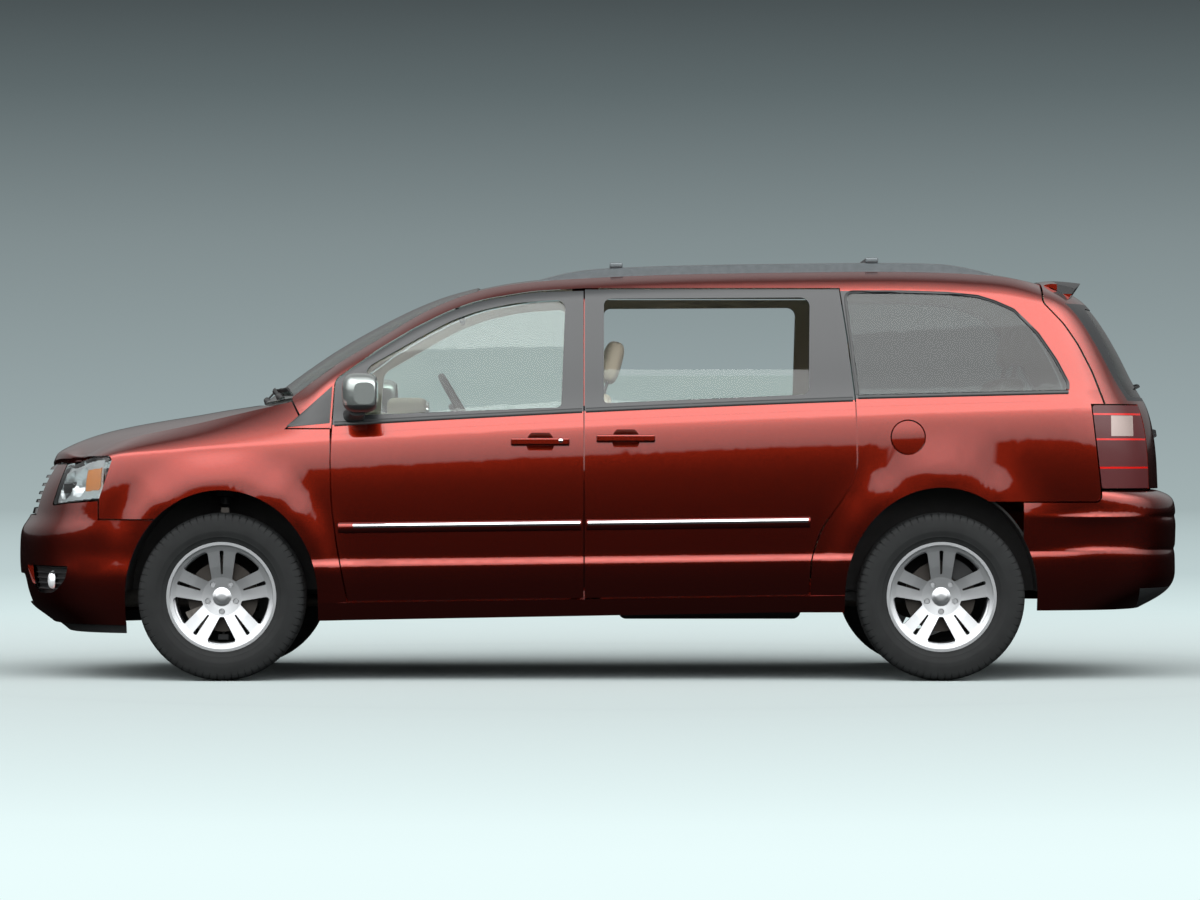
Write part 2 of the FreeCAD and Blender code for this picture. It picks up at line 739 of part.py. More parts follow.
def tail_wall(point, low, high, rows, depth, sunk=0.0, count=33):
    """Wall round the tail. A row is a height against the angle, or a pair of height and inset."""
    fan = [math.copysign(90 * abs(p) ** 1.2, p) for p in spread(low / 90, high / 90, count)]
    pairs = [row if isinstance(row, tuple) else (row, lambda a: 0.0) for row in rows]

    def grid(inward):
        return [[point(a, row(a), inward + inset(a)) for a in fan] for row, inset in pairs]

    return slab(grid(sunk), grid(sunk + depth))


tail_lamp = tail_wall(gate_point, 20, 88, [lambda a, z=z: z for z in (820, 900, 1000, 1100, 1180)], 44, sunk=0)
lamp_edge = prism([(lamp_front, lamp_top, 12), (lamp_front_low, lamp_bottom, 12), (tail_tip, lamp_bottom),
                   (tail_tip, lamp_top)], GATE_Y + SEAM, OUT)
tail_lamp = single(tail_lamp.common(lamp_edge))


def door_openings():
    """Both door openings in one outline, a seam wider than the doors."""
    front = [(x + SEAM, z) + tuple(rest) for x, z, *rest in door_bow]
    front[0] = (front[0][0], sill_z(door_front) - 30)
    roof = [(x + 4, z + SEAM) + tuple(rest) for x, z, *rest in door_top]
    back = [(x - SEAM, z) + tuple(rest) for x, z, *rest in slider_back[1:]]
    back[-1] = (back[-1][0], sill_z(slider_rear) - 30)
    return prism([*front, *roof, (door_seam, top_z + SEAM), (slider_rear + 66, top_z + SEAM), *back], 500, OUT)


def body_side():
    opening = door_openings()
    outside = [
        (front_axle - 282, 1082 + lift), (front_axle - 336, 1136 + lift), (front_axle - 297, 1203 + lift),
        (front_axle - 280, 1300 + lift), (front_axle - 900, 1900), (rear_axle - 447 + SEAM, 1900),
        *[(x + SEAM, z) + tuple(rest) for x, z, *rest in gate_edge[1:-1]], (rear_axle - 705 + SEAM, lamp_top + SEAM),
        (lamp_front + SEAM, lamp_top + SEAM), (lamp_front_low + SEAM, lamp_bottom - SEAM),
        (lamp_front_low + SEAM, bumper_side_top + SEAM, 30),
        (rear_axle + 200, bumper_side_top + SEAM), (rear_axle + 200, 200), (door_front + SEAM, 200),
        (door_front + SEAM, 1082 + lift),
    ]
    whole = prism(outside, 400, OUT)
    upper_front = side_wall(door_seam - 200, front_axle - 265, upper_rows(roof_edge_z, -14), FRAME, 24)
    upper_rear = side_wall(rear_axle - 720, door_seam - 200, upper_rows(roof_edge_z, -30), FRAME, 28)
    quarter = side_wall(rear_axle - 720, slider_rear + 215, lower_rows(level(rocker_z), 14),
                        size["wall_thickness"], 26)
    quarter = quarter.common(whole).cut(opening)
    skin = Part.Compound([upper_front, upper_rear]).common(whole).cut(opening).cut(prism(quarter_window, 400, OUT))
    rocker = side_wall(rear_axle + 380, front_axle - 380,
                       [between(rocker_z, level(sill_z, -SEAM), s) for s in (0, 0.2, 0.5, 0.8, 1.0)], 104, 30)
    sill = box(rear_axle + 380, front_axle - 380, 785, 805, deck - 130, deck + 14)
    pillar_low = side_wall(door_seam - 70, door_seam + 60,
                           [between(level(sill_z, -30), level(belt_z, 80), s) for s in (0, 0.25, 0.5, 0.75, 1)],
                           40, 5, sunk=DOOR + 9)
    pillar_high = side_wall(door_seam - 62, door_seam + 52,
                            [between(level(belt_z, 24), level(roof_edge_z, -18), s)
                             for s in (0, 0.2, 0.4, 0.6, 0.8, 0.9, 1)], 58, 5, sunk=FRAME + 9)
    seal = side_wall(slider_rear - 60, slider_rear + 120,
                     [between(level(ledge_z, -80), level(belt_z, -8), s) for s in (0, 0.25, 0.5, 0.75, 1)],
                     104, 5, sunk=38).cut(slider_panel)
    lamp_seat = tail_wall(gate_point, 15, 89, [lambda a, z=z: z for z in (812, 900, 1000, 1100, 1196)], 17, sunk=42)
    seat_space = box(tail_tip, lamp_front + 60, GATE_Y + SEAM, OUT, lamp_bottom, lamp_top - 2)
    lamp_seat = lamp_seat.common(seat_space).cut(tail_lamp)
    striker = side_wall(door_seam + 12, door_seam + 42, [lambda x, dz=dz: 820 + dz for dz in (-30, -10, 10, 30)],
                        24, 4, sunk=DOOR - 6).cut(front_panel)
    hinge_rows = [between(level(sill_z, -40), level(belt_z, 26), s) for s in (0, 0.25, 0.5, 0.75, 1)]
    hinge_ahead = side_wall(door_front + 14, door_front + 92, hinge_rows, 130, 5, sunk=SKIN - 1).cut(fender_panel)
    hinge_behind = side_wall(door_front - 60, door_front + 16, hinge_rows, 34, 5, sunk=DOOR + 20)
    parts = [*skin.Solids, *quarter.Solids, rocker, sill, pillar_low, pillar_high, seal, hinge_ahead, hinge_behind,
             lamp_seat, striker]
    side = parts[0].fuse(parts[1:])
    above_roof = slab(roof_grid(-60, 0), roof_grid(34, 0))
    above_glass = slab(windshield_grid(-60, 0), windshield_grid(6, 0))
    return side.cut(Part.Compound([arch_front, arch_rear, above_roof, above_glass]))


side = body_side()
add_pair("body_side", side)


# Nose: bumper with its lower openings, grille, headlamps and air dam
def nose_wall(low, high, rows, depth, sunk=0.0, count=33):
    """Wall round the nose between two heights, each a function of the angle."""
    fan = [0.0] * count
    for i, p in enumerate(spread(low / 90, high / 90, count)):
        fan[i] = math.copysign(90 * abs(p) ** 1.25, p)

    def grid(inward):
        return [[nose_point(a, row(a), inward) for a in fan] for row in rows]

    return slab(grid(sunk), grid(sunk + depth))


def share_of(angle):
    return abs(math.sin(math.radians(angle))) ** (2 / NOSE_POWER)


grille_y = 446
grille_z = 704


def nose_top(angle):
    """Underside of the hood's lip and, beside it, of the fender, less a seam."""
    share = share_of(angle)
    return hood_front_z(share) - HOOD - SEAM + 30 * ramp((share - 0.79) / 0.10)


def lamp_opening(grow):
    """Outline of a headlamp seen from the side."""
    return prism([
        (front_axle + 750 + grow, 752 - grow, 8), (front_axle + 678, 763 - grow),
        (front_axle + 536 - 3 * grow, 776 - grow, 8), (front_axle + 476 - 3 * grow, 964 + lift),
        (front_axle + 470 - 3 * grow, 1100 + lift), (front_axle + 629 + grow, 1100 + lift),
    ], 0, OUT)


bumper_rows = [lambda a, z=z: z for z in (238, 262, 285, 310, 345, 400, 460, 520, 580, 625, 655, 680, 705, 735)]
bumper_rows += [lambda a, s=s: 735 + (nose_top(a) - 735) * s for s in (0.2, 0.4, 0.6, 0.8, 1.0)]
bumper = nose_wall(-90, 90, bumper_rows, 22)
grille_hole = box(front_axle + 200, nose_tip + 100, -grille_y, grille_y, grille_z, 1000 + lift)
lamp_hole = lamp_opening(SEAM)
side_cut = prism([(front_axle + 100, 687), (front_axle + 534, 687), (front_axle + 534, 1100 + lift),
                  (front_axle + 100, 1100 + lift)], -OUT, OUT)
mouth = box(front_axle + 400, nose_tip + 100, -400, 400, 318, 448)
mouth = mouth.makeFillet(38, [e for e in mouth.Edges if abs(e.tangentAt(e.FirstParameter).x) > 0.9])
fog_hole = prism([(front_axle + 672, 489, 6), (front_axle + 686, 430, 60), (front_axle + 740, 372, 60),
                  (front_axle + 818, 366, 40), (front_axle + 858, 418, 40), (nose_tip - 72, 489, 6)], 456, OUT)
arches = arch_front.fuse(mirrored(arch_front))
bumper = bumper.cut(Part.Compound([grille_hole, side_cut, mouth, arches]))
bumper = bumper.cut(both(lamp_hole)).cut(both(fog_hole))
add("front_bumper", single(bumper))

dam_rows = [lambda a, z=z: z for z in (202, 215, 232, 250)]
dam = nose_wall(-90, 90, dam_rows, 14, sunk=20).cut(Part.Compound([arches, nodes[-1].Shape]))
add("air_dam", single(dam))

grille_rows = [lambda a: grille_z + SEAM, lambda a: 760, lambda a: 810, lambda a: 860,
               lambda a: hood_front_z(share_of(a)) - HOOD - SEAM]
grille_angle = angle_at(0.66, NOSE_POWER)
grille = nose_wall(-grille_angle, grille_angle, grille_rows, 26, sunk=4, count=15)
grille = grille.common(box(0, nose_tip + 100, -grille_y + SEAM, grille_y - SEAM, 0, 1000 + lift))
GRILLE_BORDER = 28
for i in range(5):
    low = grille_z + 30 + i * 36
    slot = box(front_axle + 400, nose_tip + 100, -grille_y + SEAM + GRILLE_BORDER, grille_y - SEAM - GRILLE_BORDER,
               low, low + 24)
    grille = grille.cut(slot)
add("grille", single(grille))

lamp_rows = [lambda a, s=s: 735 + (nose_top(a) - 735) * s for s in (0, 0.2, 0.4, 0.6, 0.8, 1)]
headlamp = nose_wall(angle_at(0.45, NOSE_POWER), 80, lamp_rows, size["lens_thickness"], sunk=1, count=21)
add("headlamps", both(single(headlamp.common(lamp_opening(0)))))


# Tail: liftgate with its glass and spoiler, tail lamps and rear bumper
gate_low = bumper_rear_top + 6
gate_rows = [lambda a, z=z: z for z in (gate_low, 860, 940, 1020, 1080, 1130, 1180, 1230, 1290, 1350, 1420, 1490, 1550)]


gate_top = size["roof_height"] - 5
gate_rows += [lambda a, s=s: 1550 + (gate_top - 1550) * s for s in (0.3, 0.52, 0.68, 0.8, 0.9, 1.0)]
gate = tail_wall(gate_point, -82, 82, gate_rows, 46)
gate_cover = [(roof_rear - SEAM, 2000), *[(x - 3, z) + tuple(rest) for x, z, *rest in gate_edge[1:-1]],
              (rear_axle - 708, 1190), (rear_axle - 708, 700), (tail_tip - 200, 700), (tail_tip - 200, 2000)]
gate = gate.common(prism(gate_cover, -OUT, OUT))
for sign in (-1, 1):
    inner, outer = sorted((sign * GATE_Y, sign * OUT))
    gate = gate.cut(box(tail_tip - 100, rear_axle, inner, outer, 700, lamp_top + SEAM))
gate_window = Part.Wire(Part.makePolygon([
    Vector(0, y, z) for y, z in ((-700, 1215), (700, 1215), (600, 1600), (-600, 1600), (-700, 1215))]))
pane_hole = Part.Face(gate_window).extrude(Vector(tail_tip * 2, 0, 0))
pane_hole = pane_hole.makeFillet(40, [e for e in pane_hole.Edges if abs(e.tangentAt(e.FirstParameter).x) > 0.9])


def spoiler():
    """Wing over the rear window, from the roof's end back: a thin nose and a blunt tail edge."""
    half = 606
    upper, lower = [], []
    for u in spread(0, 1, 9):
        top, under = [], []
        for t in spread(-1, 1, 15):
            bow = abs(t) ** 2.4
            front_x, rear_x = roof_rear - 10 - 8 * bow, tail_tip + 444 + 62 * bow
            x = front_x + (rear_x - front_x) * u
            z = roof_z(roof_rear, 0.97 * t) + 14 - 12 * u * u - 14 * (1 - u) ** 6 - 16 * bow * u
            top.append(Vector(x, t * half, z))
            under.append(Vector(x + 34 * u, t * half, z - 14 - 36 * u * u))
        upper.append(top)
        lower.append(under)
    return slab(upper, lower)


gate_shell = single(gate.cut(pane_hole).fuse(spoiler()))
add("liftgate", gate_shell)
gate_pane = tail_wall(gate_point, -70, 70, gate_rows[5:16], size["glass_thickness"], sunk=4).common(pane_hole)
add("liftgate_glass", single(gate_pane))

add("tail_lamps", both(tail_lamp))

def ridge(height):
    """Rows that raise a narrow crease round the bumper, fading out at the sides."""
    def out(amount):
        return lambda a: -amount * ramp((85 - abs(a)) / 8)

    return [(lambda a, z=height + dz: z, out(amount)) for dz, amount in ((-26, 2), (-8, 7), (0, 8), (8, 1))]


def flat(inset):
    return lambda a: inset


rear_rows = [lambda a, z=z: z for z in (300, 325, 350, 385, 430, 480)]
rear_rows += ridge(560)
rear_rows += [lambda a, z=z: z for z in (600, 650)]
rear_rows += ridge(704)
rear_rows += [lambda a, z=z: z for z in (740, 770, 790, 803)]
rear_rows += [(lambda a, z=bumper_rear_top + dz: z, flat(inset)) for dz, inset in ((-4, 1), (0, 8), (1, 30), (1, 56))]
rear_bumper = tail_wall(bumper_point, -90, 90, rear_rows, 24)
end_heights = (300, 325, 350, 385, 430, 480, 540, 600, 650, 700, 740, bumper_side_top + 20)
end = side_wall(tail_start - 3, rear_axle + 200, [lambda x, z=z: z for z in end_heights], 24, 16)
rear_arches = arch_rear.fuse(mirrored(arch_rear))
side_top = prism([(rear_axle + 300, bumper_side_top), (lamp_front_low, bumper_side_top, 30), (lamp_front_low, 900),
                  (rear_axle + 300, 900)], -OUT, OUT)
ahead_of_arch = box(rear_axle - 100, rear_axle + 300, -OUT, OUT, 0, 900)
rear_bumper = rear_bumper.fuse([end, mirrored(end)])
add("rear_bumper", single(rear_bumper.cut(Part.Compound([rear_arches, side_top, ahead_of_arch]))))


# Wheels, turned about their own axis and then moved to their places
def turned(profile, degrees=360):
    """Body of revolution about Y from corners given as (across, radius)."""
    solid = Part.Face(outline(profile)).revolve(Vector(0, 0, 0), Vector(1, 0, 0), degrees)
    solid.rotate(Vector(0, 0, 0), Vector(0, 0, 1), 90)
    return solid


def spun(shape, degrees):
    copy = shape.copy()
    copy.rotate(Vector(0, 0, 0), Vector(0, 1, 0), degrees)
    return copy


HALF_TYRE = size["tyre_width"] / 2
BEAD = size["bead_radius"]
FLANGE = size["rim_width"] / 2 - 5
RADIUS = size["tyre_radius"]


def tyre():
    outer = [(-FLANGE, BEAD), (-FLANGE, BEAD + 12), (-HALF_TYRE, BEAD + 66, 60), (-HALF_TYRE + 8, RADIUS - 17, 20),
             (-HALF_TYRE + 34, RADIUS - 2, 40), (0, RADIUS, 900)]
    outer += [(-x, r) + tuple(rest) for x, r, *rest in reversed(outer[:-1])]
    inner = [(FLANGE - 16, BEAD), (FLANGE - 12, BEAD + 14), (HALF_TYRE - 12, BEAD + 66, 50),
             (HALF_TYRE - 24, RADIUS - 26, 20)]
    inner += [(-x, r) + tuple(rest) for x, r, *rest in reversed(inner)]
    return turned(outer + inner)


HUB_FACE = 30
DISC_BACK = -27
DISC_FRONT = -1


def rim():
    barrel = turned([
        (-FLANGE - 5, BEAD + 9), (-FLANGE, BEAD + 9), (-FLANGE, BEAD), (-FLANGE + 22, BEAD), (-FLANGE + 34, BEAD - 20, 8),
        (FLANGE - 40, BEAD - 20, 8), (FLANGE - 24, BEAD), (FLANGE, BEAD), (FLANGE, BEAD + 9), (FLANGE + 5, BEAD + 9),
        (FLANGE + 5, BEAD - 7, 4), (FLANGE - 28, BEAD - 8, 6), (FLANGE - 44, BEAD - 28, 8), (-FLANGE + 30, BEAD - 28, 8),
        (-FLANGE + 16, BEAD - 8, 6), (-FLANGE - 5, BEAD - 8)])
    face = turned([
        (HUB_FACE, 0), (HUB_FACE, 78, 6), (46, 104, 20), (54, BEAD - 24), (64, BEAD - 7), (88, BEAD - 7), (82, 196, 30),
        (72, 130, 60), (62, 84, 20), (58, 40, 6), (62, 31, 2), (66, 29, 2), (66, 0)])
    window = prism([(-9, 86, 8), (-60, 184, 12), (-56, 199, 12), (0, 209, 90), (56, 199, 12), (60, 184, 12),
                    (9, 86, 8)], 20, 110)
    slot = prism([(-4, 96, 3), (-9, 198, 6), (9, 198, 6), (4, 96, 3)], 20, 110)
    cuts = []
    for i in range(5):
        cuts += [spun(window, 36 + 72 * i), spun(slot, 72 * i)]
        pocket = Part.makeCylinder(13, 60, Vector(0, 46, size["hub_bolt_circle"] / 2), Vector(0, 1, 0))
        cuts.append(spun(pocket, 36 + 72 * i))
    wheel = face.cut(Part.Compound(cuts)).fuse(barrel)
    nuts = [spun(Part.makeCylinder(9.5, 16, Vector(0, 42, size["hub_bolt_circle"] / 2), Vector(0, 1, 0)), 36 + 72 * i)
            for i in range(5)]
    hat = turned([(HUB_FACE, 0), (HUB_FACE, 76), (DISC_FRONT, 76), (DISC_FRONT, size["disc_radius"]),
                  (DISC_BACK, size["disc_radius"]), (DISC_BACK, 68), (DISC_BACK, 0)])
    bore = Part.makeCylinder(20.05, 80, Vector(0, DISC_BACK - 1, 0), Vector(0, 1, 0))
    return wheel.fuse([hat, *nuts]).cut(bore)


def caliper():
    block = turned([(-54, 96), (-33, 96), (-33, 158), (5, 158), (5, 96), (24, 96), (24, 173), (-54, 173)], 46)
    return spun(block, -67)


tyre_shape = tyre()
rim_shape = rim()
places = [("front_left", front_axle, size["front_track"] / 2), ("front_right", front_axle, -size["front_track"] / 2),
          ("rear_left", rear_axle, size["rear_track"] / 2), ("rear_right", rear_axle, -size["rear_track"] / 2)]


def placed(shape, x, y):
    copy = shape.copy()
    if y < 0:
        copy = mirrored(copy)
    copy.translate(Vector(x, y, wheel_z))
    return copy


for name, x, y in places:
    add("tyre_" + name, placed(tyre_shape, x, y))
    add("rim_" + name, placed(rim_shape, x, y))

# Front knuckles turn about the line through their lower joint and the strut
kingpin_low = Vector(front_axle, size["front_track"] / 2 - 35, 200)
kingpin_lean = 0.2143
kingpin_axis = Vector(0, -kingpin_lean, 1)


def kingpin_y(z):
    return kingpin_low.y - kingpin_lean * (z - kingpin_low.z)


def knuckle():
    plane = size["front_track"] / 2
    carrier = Part.makeCylinder(60, 42, Vector(0, -76, 0), Vector(0, 1, 0))
    pad = box(30, 130, -76, -52, -40, 40)
    spindle = Part.makeCylinder(20, 86, Vector(0, -40, 0), Vector(0, 1, 0))
    hub = carrier.fuse([pad, spindle, spun(caliper(), 180)])
    hub.translate(Vector(front_axle, plane, wheel_z))
    ear = box(front_axle - 20, front_axle + 20, plane - 76, plane - 46, 222, wheel_z - 40)
    neck = box(front_axle - 17, front_axle + 17, plane - 153, plane - 122, 470, 740)
    web = box(front_axle - 17, front_axle + 17, plane - 153, plane - 45, 408, 480)
    arm = box(front_axle - 130, front_axle - 20, plane - 108, plane - 84, wheel_z - 70, wheel_z - 46)
    link = box(front_axle - 50, front_axle - 10, plane - 108, plane - 60, wheel_z - 76, wheel_z - 36)
    socket = Part.makeCylinder(8.05, 60, kingpin_low, kingpin_axis)
    return hub.fuse([ear, neck, web, arm, link]).cut(socket)


add_pair("knuckle", knuckle())


# Floor, wheel houses and front structure
def liner(axle, top, inner_y, wall):
    house = arch_cutter(axle, top, 14, inner_y - 8, OUT).cut(arch_cutter(axle, top, 5, inner_y, OUT + 10))
    heights = [lambda x, z=z: z for z in (330, 450, 600, 750, 800, 850, 900)]
    inside = side_wall(axle - 450, axle + 450, heights, 500, 19, sunk=wall - 1)
    return house.common(inside).cut(box(axle - 600, axle + 600, 0, OUT + 20, -100, deck - 40))


toe_x = front_axle - 520
house_y = 632
rear_deck = deck + 180
side_shapes = [side, mirrored(side)]


def floor_panels():
    """Flat front floor, kick-up, rear floor, wheel houses and the panel between the cabin and the engine."""
    kick_x = rear_axle + size["arch_half_length"] + 14 + WELD
    wall_y = house_y - 8 - WELD
    floor = box(kick_x, toe_x - 20 - WELD, -785, 785, deck - 40, deck)
    kick = box(kick_x, kick_x + 40, -785, 785, deck + WELD, rear_deck)
    middle = box(rear_axle - 430, kick_x - WELD, -wall_y, wall_y, rear_deck - 40, rear_deck)
    end = box(tail_tip + 170, rear_axle - 430 - WELD, -890, 890, rear_deck - 40, rear_deck)
    end = end.fuse(box(tail_tip + 120, tail_tip + 260, -60, 60, rear_deck - 20, gate_low + 30))
    firewall = prism([(toe_x - 20, deck - 40), (toe_x, deck - 40), (toe_x + 200, 700), (toe_x + 200, 1120),
                      (toe_x + 180, 1120), (toe_x + 180, 705), (toe_x - 20, deck)], -500, 500)
    wings = [box(toe_x - 20, toe_x, y0, y0 + 305, deck - 40, 1000) for y0 in (-785, 480)]
    house = liner(rear_axle, size["rear_arch_height"], house_y, size["wall_thickness"])
    panels = [floor, kick, middle, end, firewall.fuse(wings), house, mirrored(house)]
    around = Part.Compound([*side_shapes, shape_of("rear_bumper"), gate_shell])
    return Part.Compound([single(panel.cut(around)) for panel in panels])


floor_pan = floor_panels()
add("floor_pan", floor_pan)

rail_y = 430
strut_top = Vector(front_axle, kingpin_y(905), 905)
strut_low = Vector(front_axle, kingpin_y(750), 750)
along_strut = (strut_top - strut_low).normalize()
strut = Part.makeCylinder(24, (strut_top - strut_low).Length, strut_low, along_strut)
spring_low = strut_low + along_strut * 30
spring = Part.makeCylinder(60, (strut_top - spring_low).Length, spring_low, along_strut)
strut_unit = strut.fuse(spring)


def front_frame():
    """Wheel liners, rails with their strut towers, radiator carrier and cowl."""
    liner_y = 506
    house = liner(front_axle, size["front_arch_height"], liner_y, SKIN)
    beyond = arch_cutter(front_axle, size["front_arch_height"], 14 + WELD, liner_y - 8 - WELD, OUT)
    carrier_x = nose_tip - 320
    rail = box(toe_x + 10, carrier_x - WELD, rail_y, rail_y + 60, deck, deck + 110)
    web = box(front_axle - 120, front_axle + 120, rail_y + 40, 512, deck + 20, 900)
    tower = box(front_axle - 90, front_axle + 90, 505, kingpin_y(880) + 70, 822, 925)
    beam = single(rail.fuse([web, tower]).cut(beyond))

    lamp_arm = box(carrier_x, nose_tip - 262, 440, 690, 800, 840)
    hold = box(nose_tip - 250, nose_tip - 60, grille_y - SEAM - GRILLE_BORDER + 4, grille_y - SEAM - 4, 740, 780)
    beam_end = box(nose_tip - 250, nose_tip - 10, 470, 510, 500, 560)
    lower = box(nose_tip - 250, nose_tip - 30, 470, 510, 240, 320)
    arms = [lamp_arm, hold, beam_end, lower]
    latch = box(nose_tip - 268, nose_tip - 238, -40, 40, 870, 1030)
    carrier = box(carrier_x, nose_tip - 235, -480, 480, 240, 880)
    carrier = carrier.fuse([latch, *arms, *[mirrored(arm) for arm in arms]])

    rows = []
    for ahead, rise in ((66, -34), (30, -24), (0, -12), (-30, 0), (-60, 12), (-90, -10), (None, -50)):
        row = []
        for base in windshield_grid(0, 0)[0]:
            x = min(base.x - 110, toe_x + 196) if ahead is None else base.x + ahead
            row.append(Vector(x, base.y * 0.985, base.z + rise))
        rows.append(row)
    cowl = slab(rows, [[p - Vector(0, 0, 70) for p in row] for row in rows])
    whole = Part.Compound([house, mirrored(house), beam, mirrored(beam), carrier, cowl])
    around = [fender_panel, mirrored(fender_panel), *side_shapes, floor_pan, strut_unit, mirrored(strut_unit), hood_shape]
    around += [shape_of(name) for name in ("front_bumper", "windshield", "air_dam", "headlamps", "grille")]
    for piece in around:
        whole = whole.cut(piece)
    return Part.Compound([solid for solid in whole.Solids if solid.Volume > 1e6])


frame_shape = front_frame()
add("front_frame", frame_shape)

lower_arm = Part.makeLoft([
    Part.Wire(Part.makePolygon([Vector(x, rail_y - 30, z) for x, z in
                                ((front_axle - 190, 237), (front_axle + 60, 237), (front_axle + 60, 262),
                                 (front_axle - 190, 262), (front_axle - 190, 237))])),
    Part.Wire(Part.makePolygon([Vector(x, kingpin_low.y + 14, z) for x, z in
                                ((front_axle - 22, 174), (front_axle + 22, 174), (front_axle + 22, 197),
                                 (front_axle - 22, 197), (front_axle - 22, 174))]))], True, True)
cross = box(front_axle - 200, front_axle + 70, -rail_y - 50, rail_y + 50, 235, 285)
leg = box(front_axle - 200, front_axle - 130, rail_y, rail_y + 50, 280, deck)
stud = Part.makeCylinder(8, 60, kingpin_low - kingpin_axis * 18, kingpin_axis)
suspension = cross.fuse([leg, mirrored(leg), lower_arm, mirrored(lower_arm), stud, mirrored(stud)])
add("front_suspension", Part.Compound([suspension, strut_unit, mirrored(strut_unit)]))

engine = box(front_axle - 80, nose_tip - 330, -380, 380, 300, 860)
engine = engine.makeFillet(40, engine.Edges)
mounts = box(front_axle + 150, front_axle + 230, -rail_y, rail_y, deck + 30, deck + 90)
add("engine", engine.fuse(mounts))


def rear_axle_shape():
    plane = size["rear_track"] / 2
    beam = Part.makeCylinder(36, 2 * plane - 260, Vector(rear_axle + 40, -plane + 130, wheel_z - 20), Vector(0, 1, 0))
    parts = [beam]
    carrier = Part.makeCylinder(52, 60, Vector(0, -94, 0), Vector(0, 1, 0)).fuse(spun(caliper(), 0))
    carrier = carrier.fuse([box(-130, -30, -94, -52, -40, 40),
                            Part.makeCylinder(20, 86, Vector(0, -40, 0), Vector(0, 1, 0))])
    arm = Part.makeLoft([
        Part.Wire(Part.makePolygon([Vector(rear_axle + 30, y, z) for y, z in
                                    ((560, 320), (610, 320), (610, 370), (560, 370), (560, 320))])),
        Part.Wire(Part.makePolygon([Vector(rear_axle + 500, y, z) for y, z in
                                    ((560, 340), (610, 340), (610, 382), (560, 382), (560, 340))]))], True, True)
    end = box(rear_axle - 20, rear_axle + 70, plane - 150, plane - 90, wheel_z - 50, wheel_z + 20)
    spring = Part.makeCylinder(48, rear_deck - 40 - wheel_z + 10, Vector(rear_axle + 40, 500, wheel_z - 10),
                               Vector(0, 0, 1))
    hub = carrier.copy()
    hub.translate(Vector(rear_axle, plane, wheel_z))
    for piece in (hub, arm, end, spring):
        parts += [piece, mirrored(piece)]
    return parts[0].fuse(parts[1:]).cut(floor_pan)


add("rear_axle", single(rear_axle_shape()))

tank = box(rear_axle + 560, door_seam - 150, -620, -120, deck - 190, deck - 40)
add("fuel_tank", tank.makeFillet(35, tank.Edges))

pipe_run = [(front_axle - 150, 90, 322), (rear_axle + 330, 90, 322), (rear_axle + 60, 90, 445),
            (rear_axle - 470, 410, 445)]
exhaust_parts = []
for start, stop in zip(pipe_run, pipe_run[1:]):
    start, stop = Vector(start), Vector(stop)
    exhaust_parts += [Part.makeCylinder(28, (stop - start).Length, start, stop - start), Part.makeSphere(28, stop)]
silencer = Part.makeCylinder(92, 330, Vector(rear_axle - 790, 410, 445), Vector(1, 0, 0))
exhaust_parts.append(silencer.makeFillet(20, silencer.Edges))
exhaust_parts.append(Part.makeCylinder(28, 160, Vector(rear_axle - 930, 430, 400), Vector(1, 0, 0)))
exhaust_parts.append(box(rear_axle - 640, rear_axle - 610, 395, 425, 500, rear_deck - 40))
exhaust_parts.append(box(door_seam - 90, door_seam - 60, 80, 100, 330, deck - 40))
add("exhaust", single(exhaust_parts[0].fuse(exhaust_parts[1:]).cut(floor_pan)))


# Cabin
def cushion(x0, x1, y0, y1, z0, z1, round_by, lean=0.0, about=None):
    block = box(x0, x1, y0, y1, z0, z1)
    block = block.makeFillet(round_by, block.Edges)
    if lean:
        block.rotate(about, Vector(0, 1, 0), lean)
    return block


def seat(back_x, y, width, floor_z, lean, back_height=640, base=True):
    """Seat with its base on the floor, a leaning back and a head restraint."""
    half = width / 2
    cushion_z = floor_z + 200
    hinge = Vector(back_x + 60, 0, cushion_z + 40)
    pad = cushion(back_x + 40, back_x + 560, y - half, y + half, cushion_z - 70, cushion_z + 70, 45,
                  -6, Vector(back_x + 40, 0, cushion_z))
    back = cushion(back_x, back_x + 125, y - half + 8, y + half - 8, cushion_z, cushion_z + back_height, 45,
                   -lean, hinge)
    posts = [Part.makeCylinder(6, 120, Vector(back_x + 58, y + dy, cushion_z + back_height - 30)) for dy in (-60, 60)]
    head = cushion(back_x + 14, back_x + 112, y - 125, y + 125, cushion_z + back_height + 50,
                   cushion_z + back_height + 235, 40)
    top = head.fuse(posts)
    top.rotate(hinge, Vector(0, 1, 0), -lean)
    legs = box(back_x + 100, back_x + 470, y - half + 60, y + half - 60, floor_z, cushion_z - 20)
    return pad.fuse([back, top, legs])


front_left_seat = seat(door_seam + 20, 370, size["seat_width"], deck, 16)
add("front_seats", both(front_left_seat))
middle_left_seat = seat(door_seam - 980, 370, size["seat_width"], deck, 16)
add("middle_seats", both(middle_left_seat))


def bench():
    left = seat(rear_axle - 300, 300, 560, rear_deck, 14, back_height=520)
    return both(left)


add("rear_bench", bench())

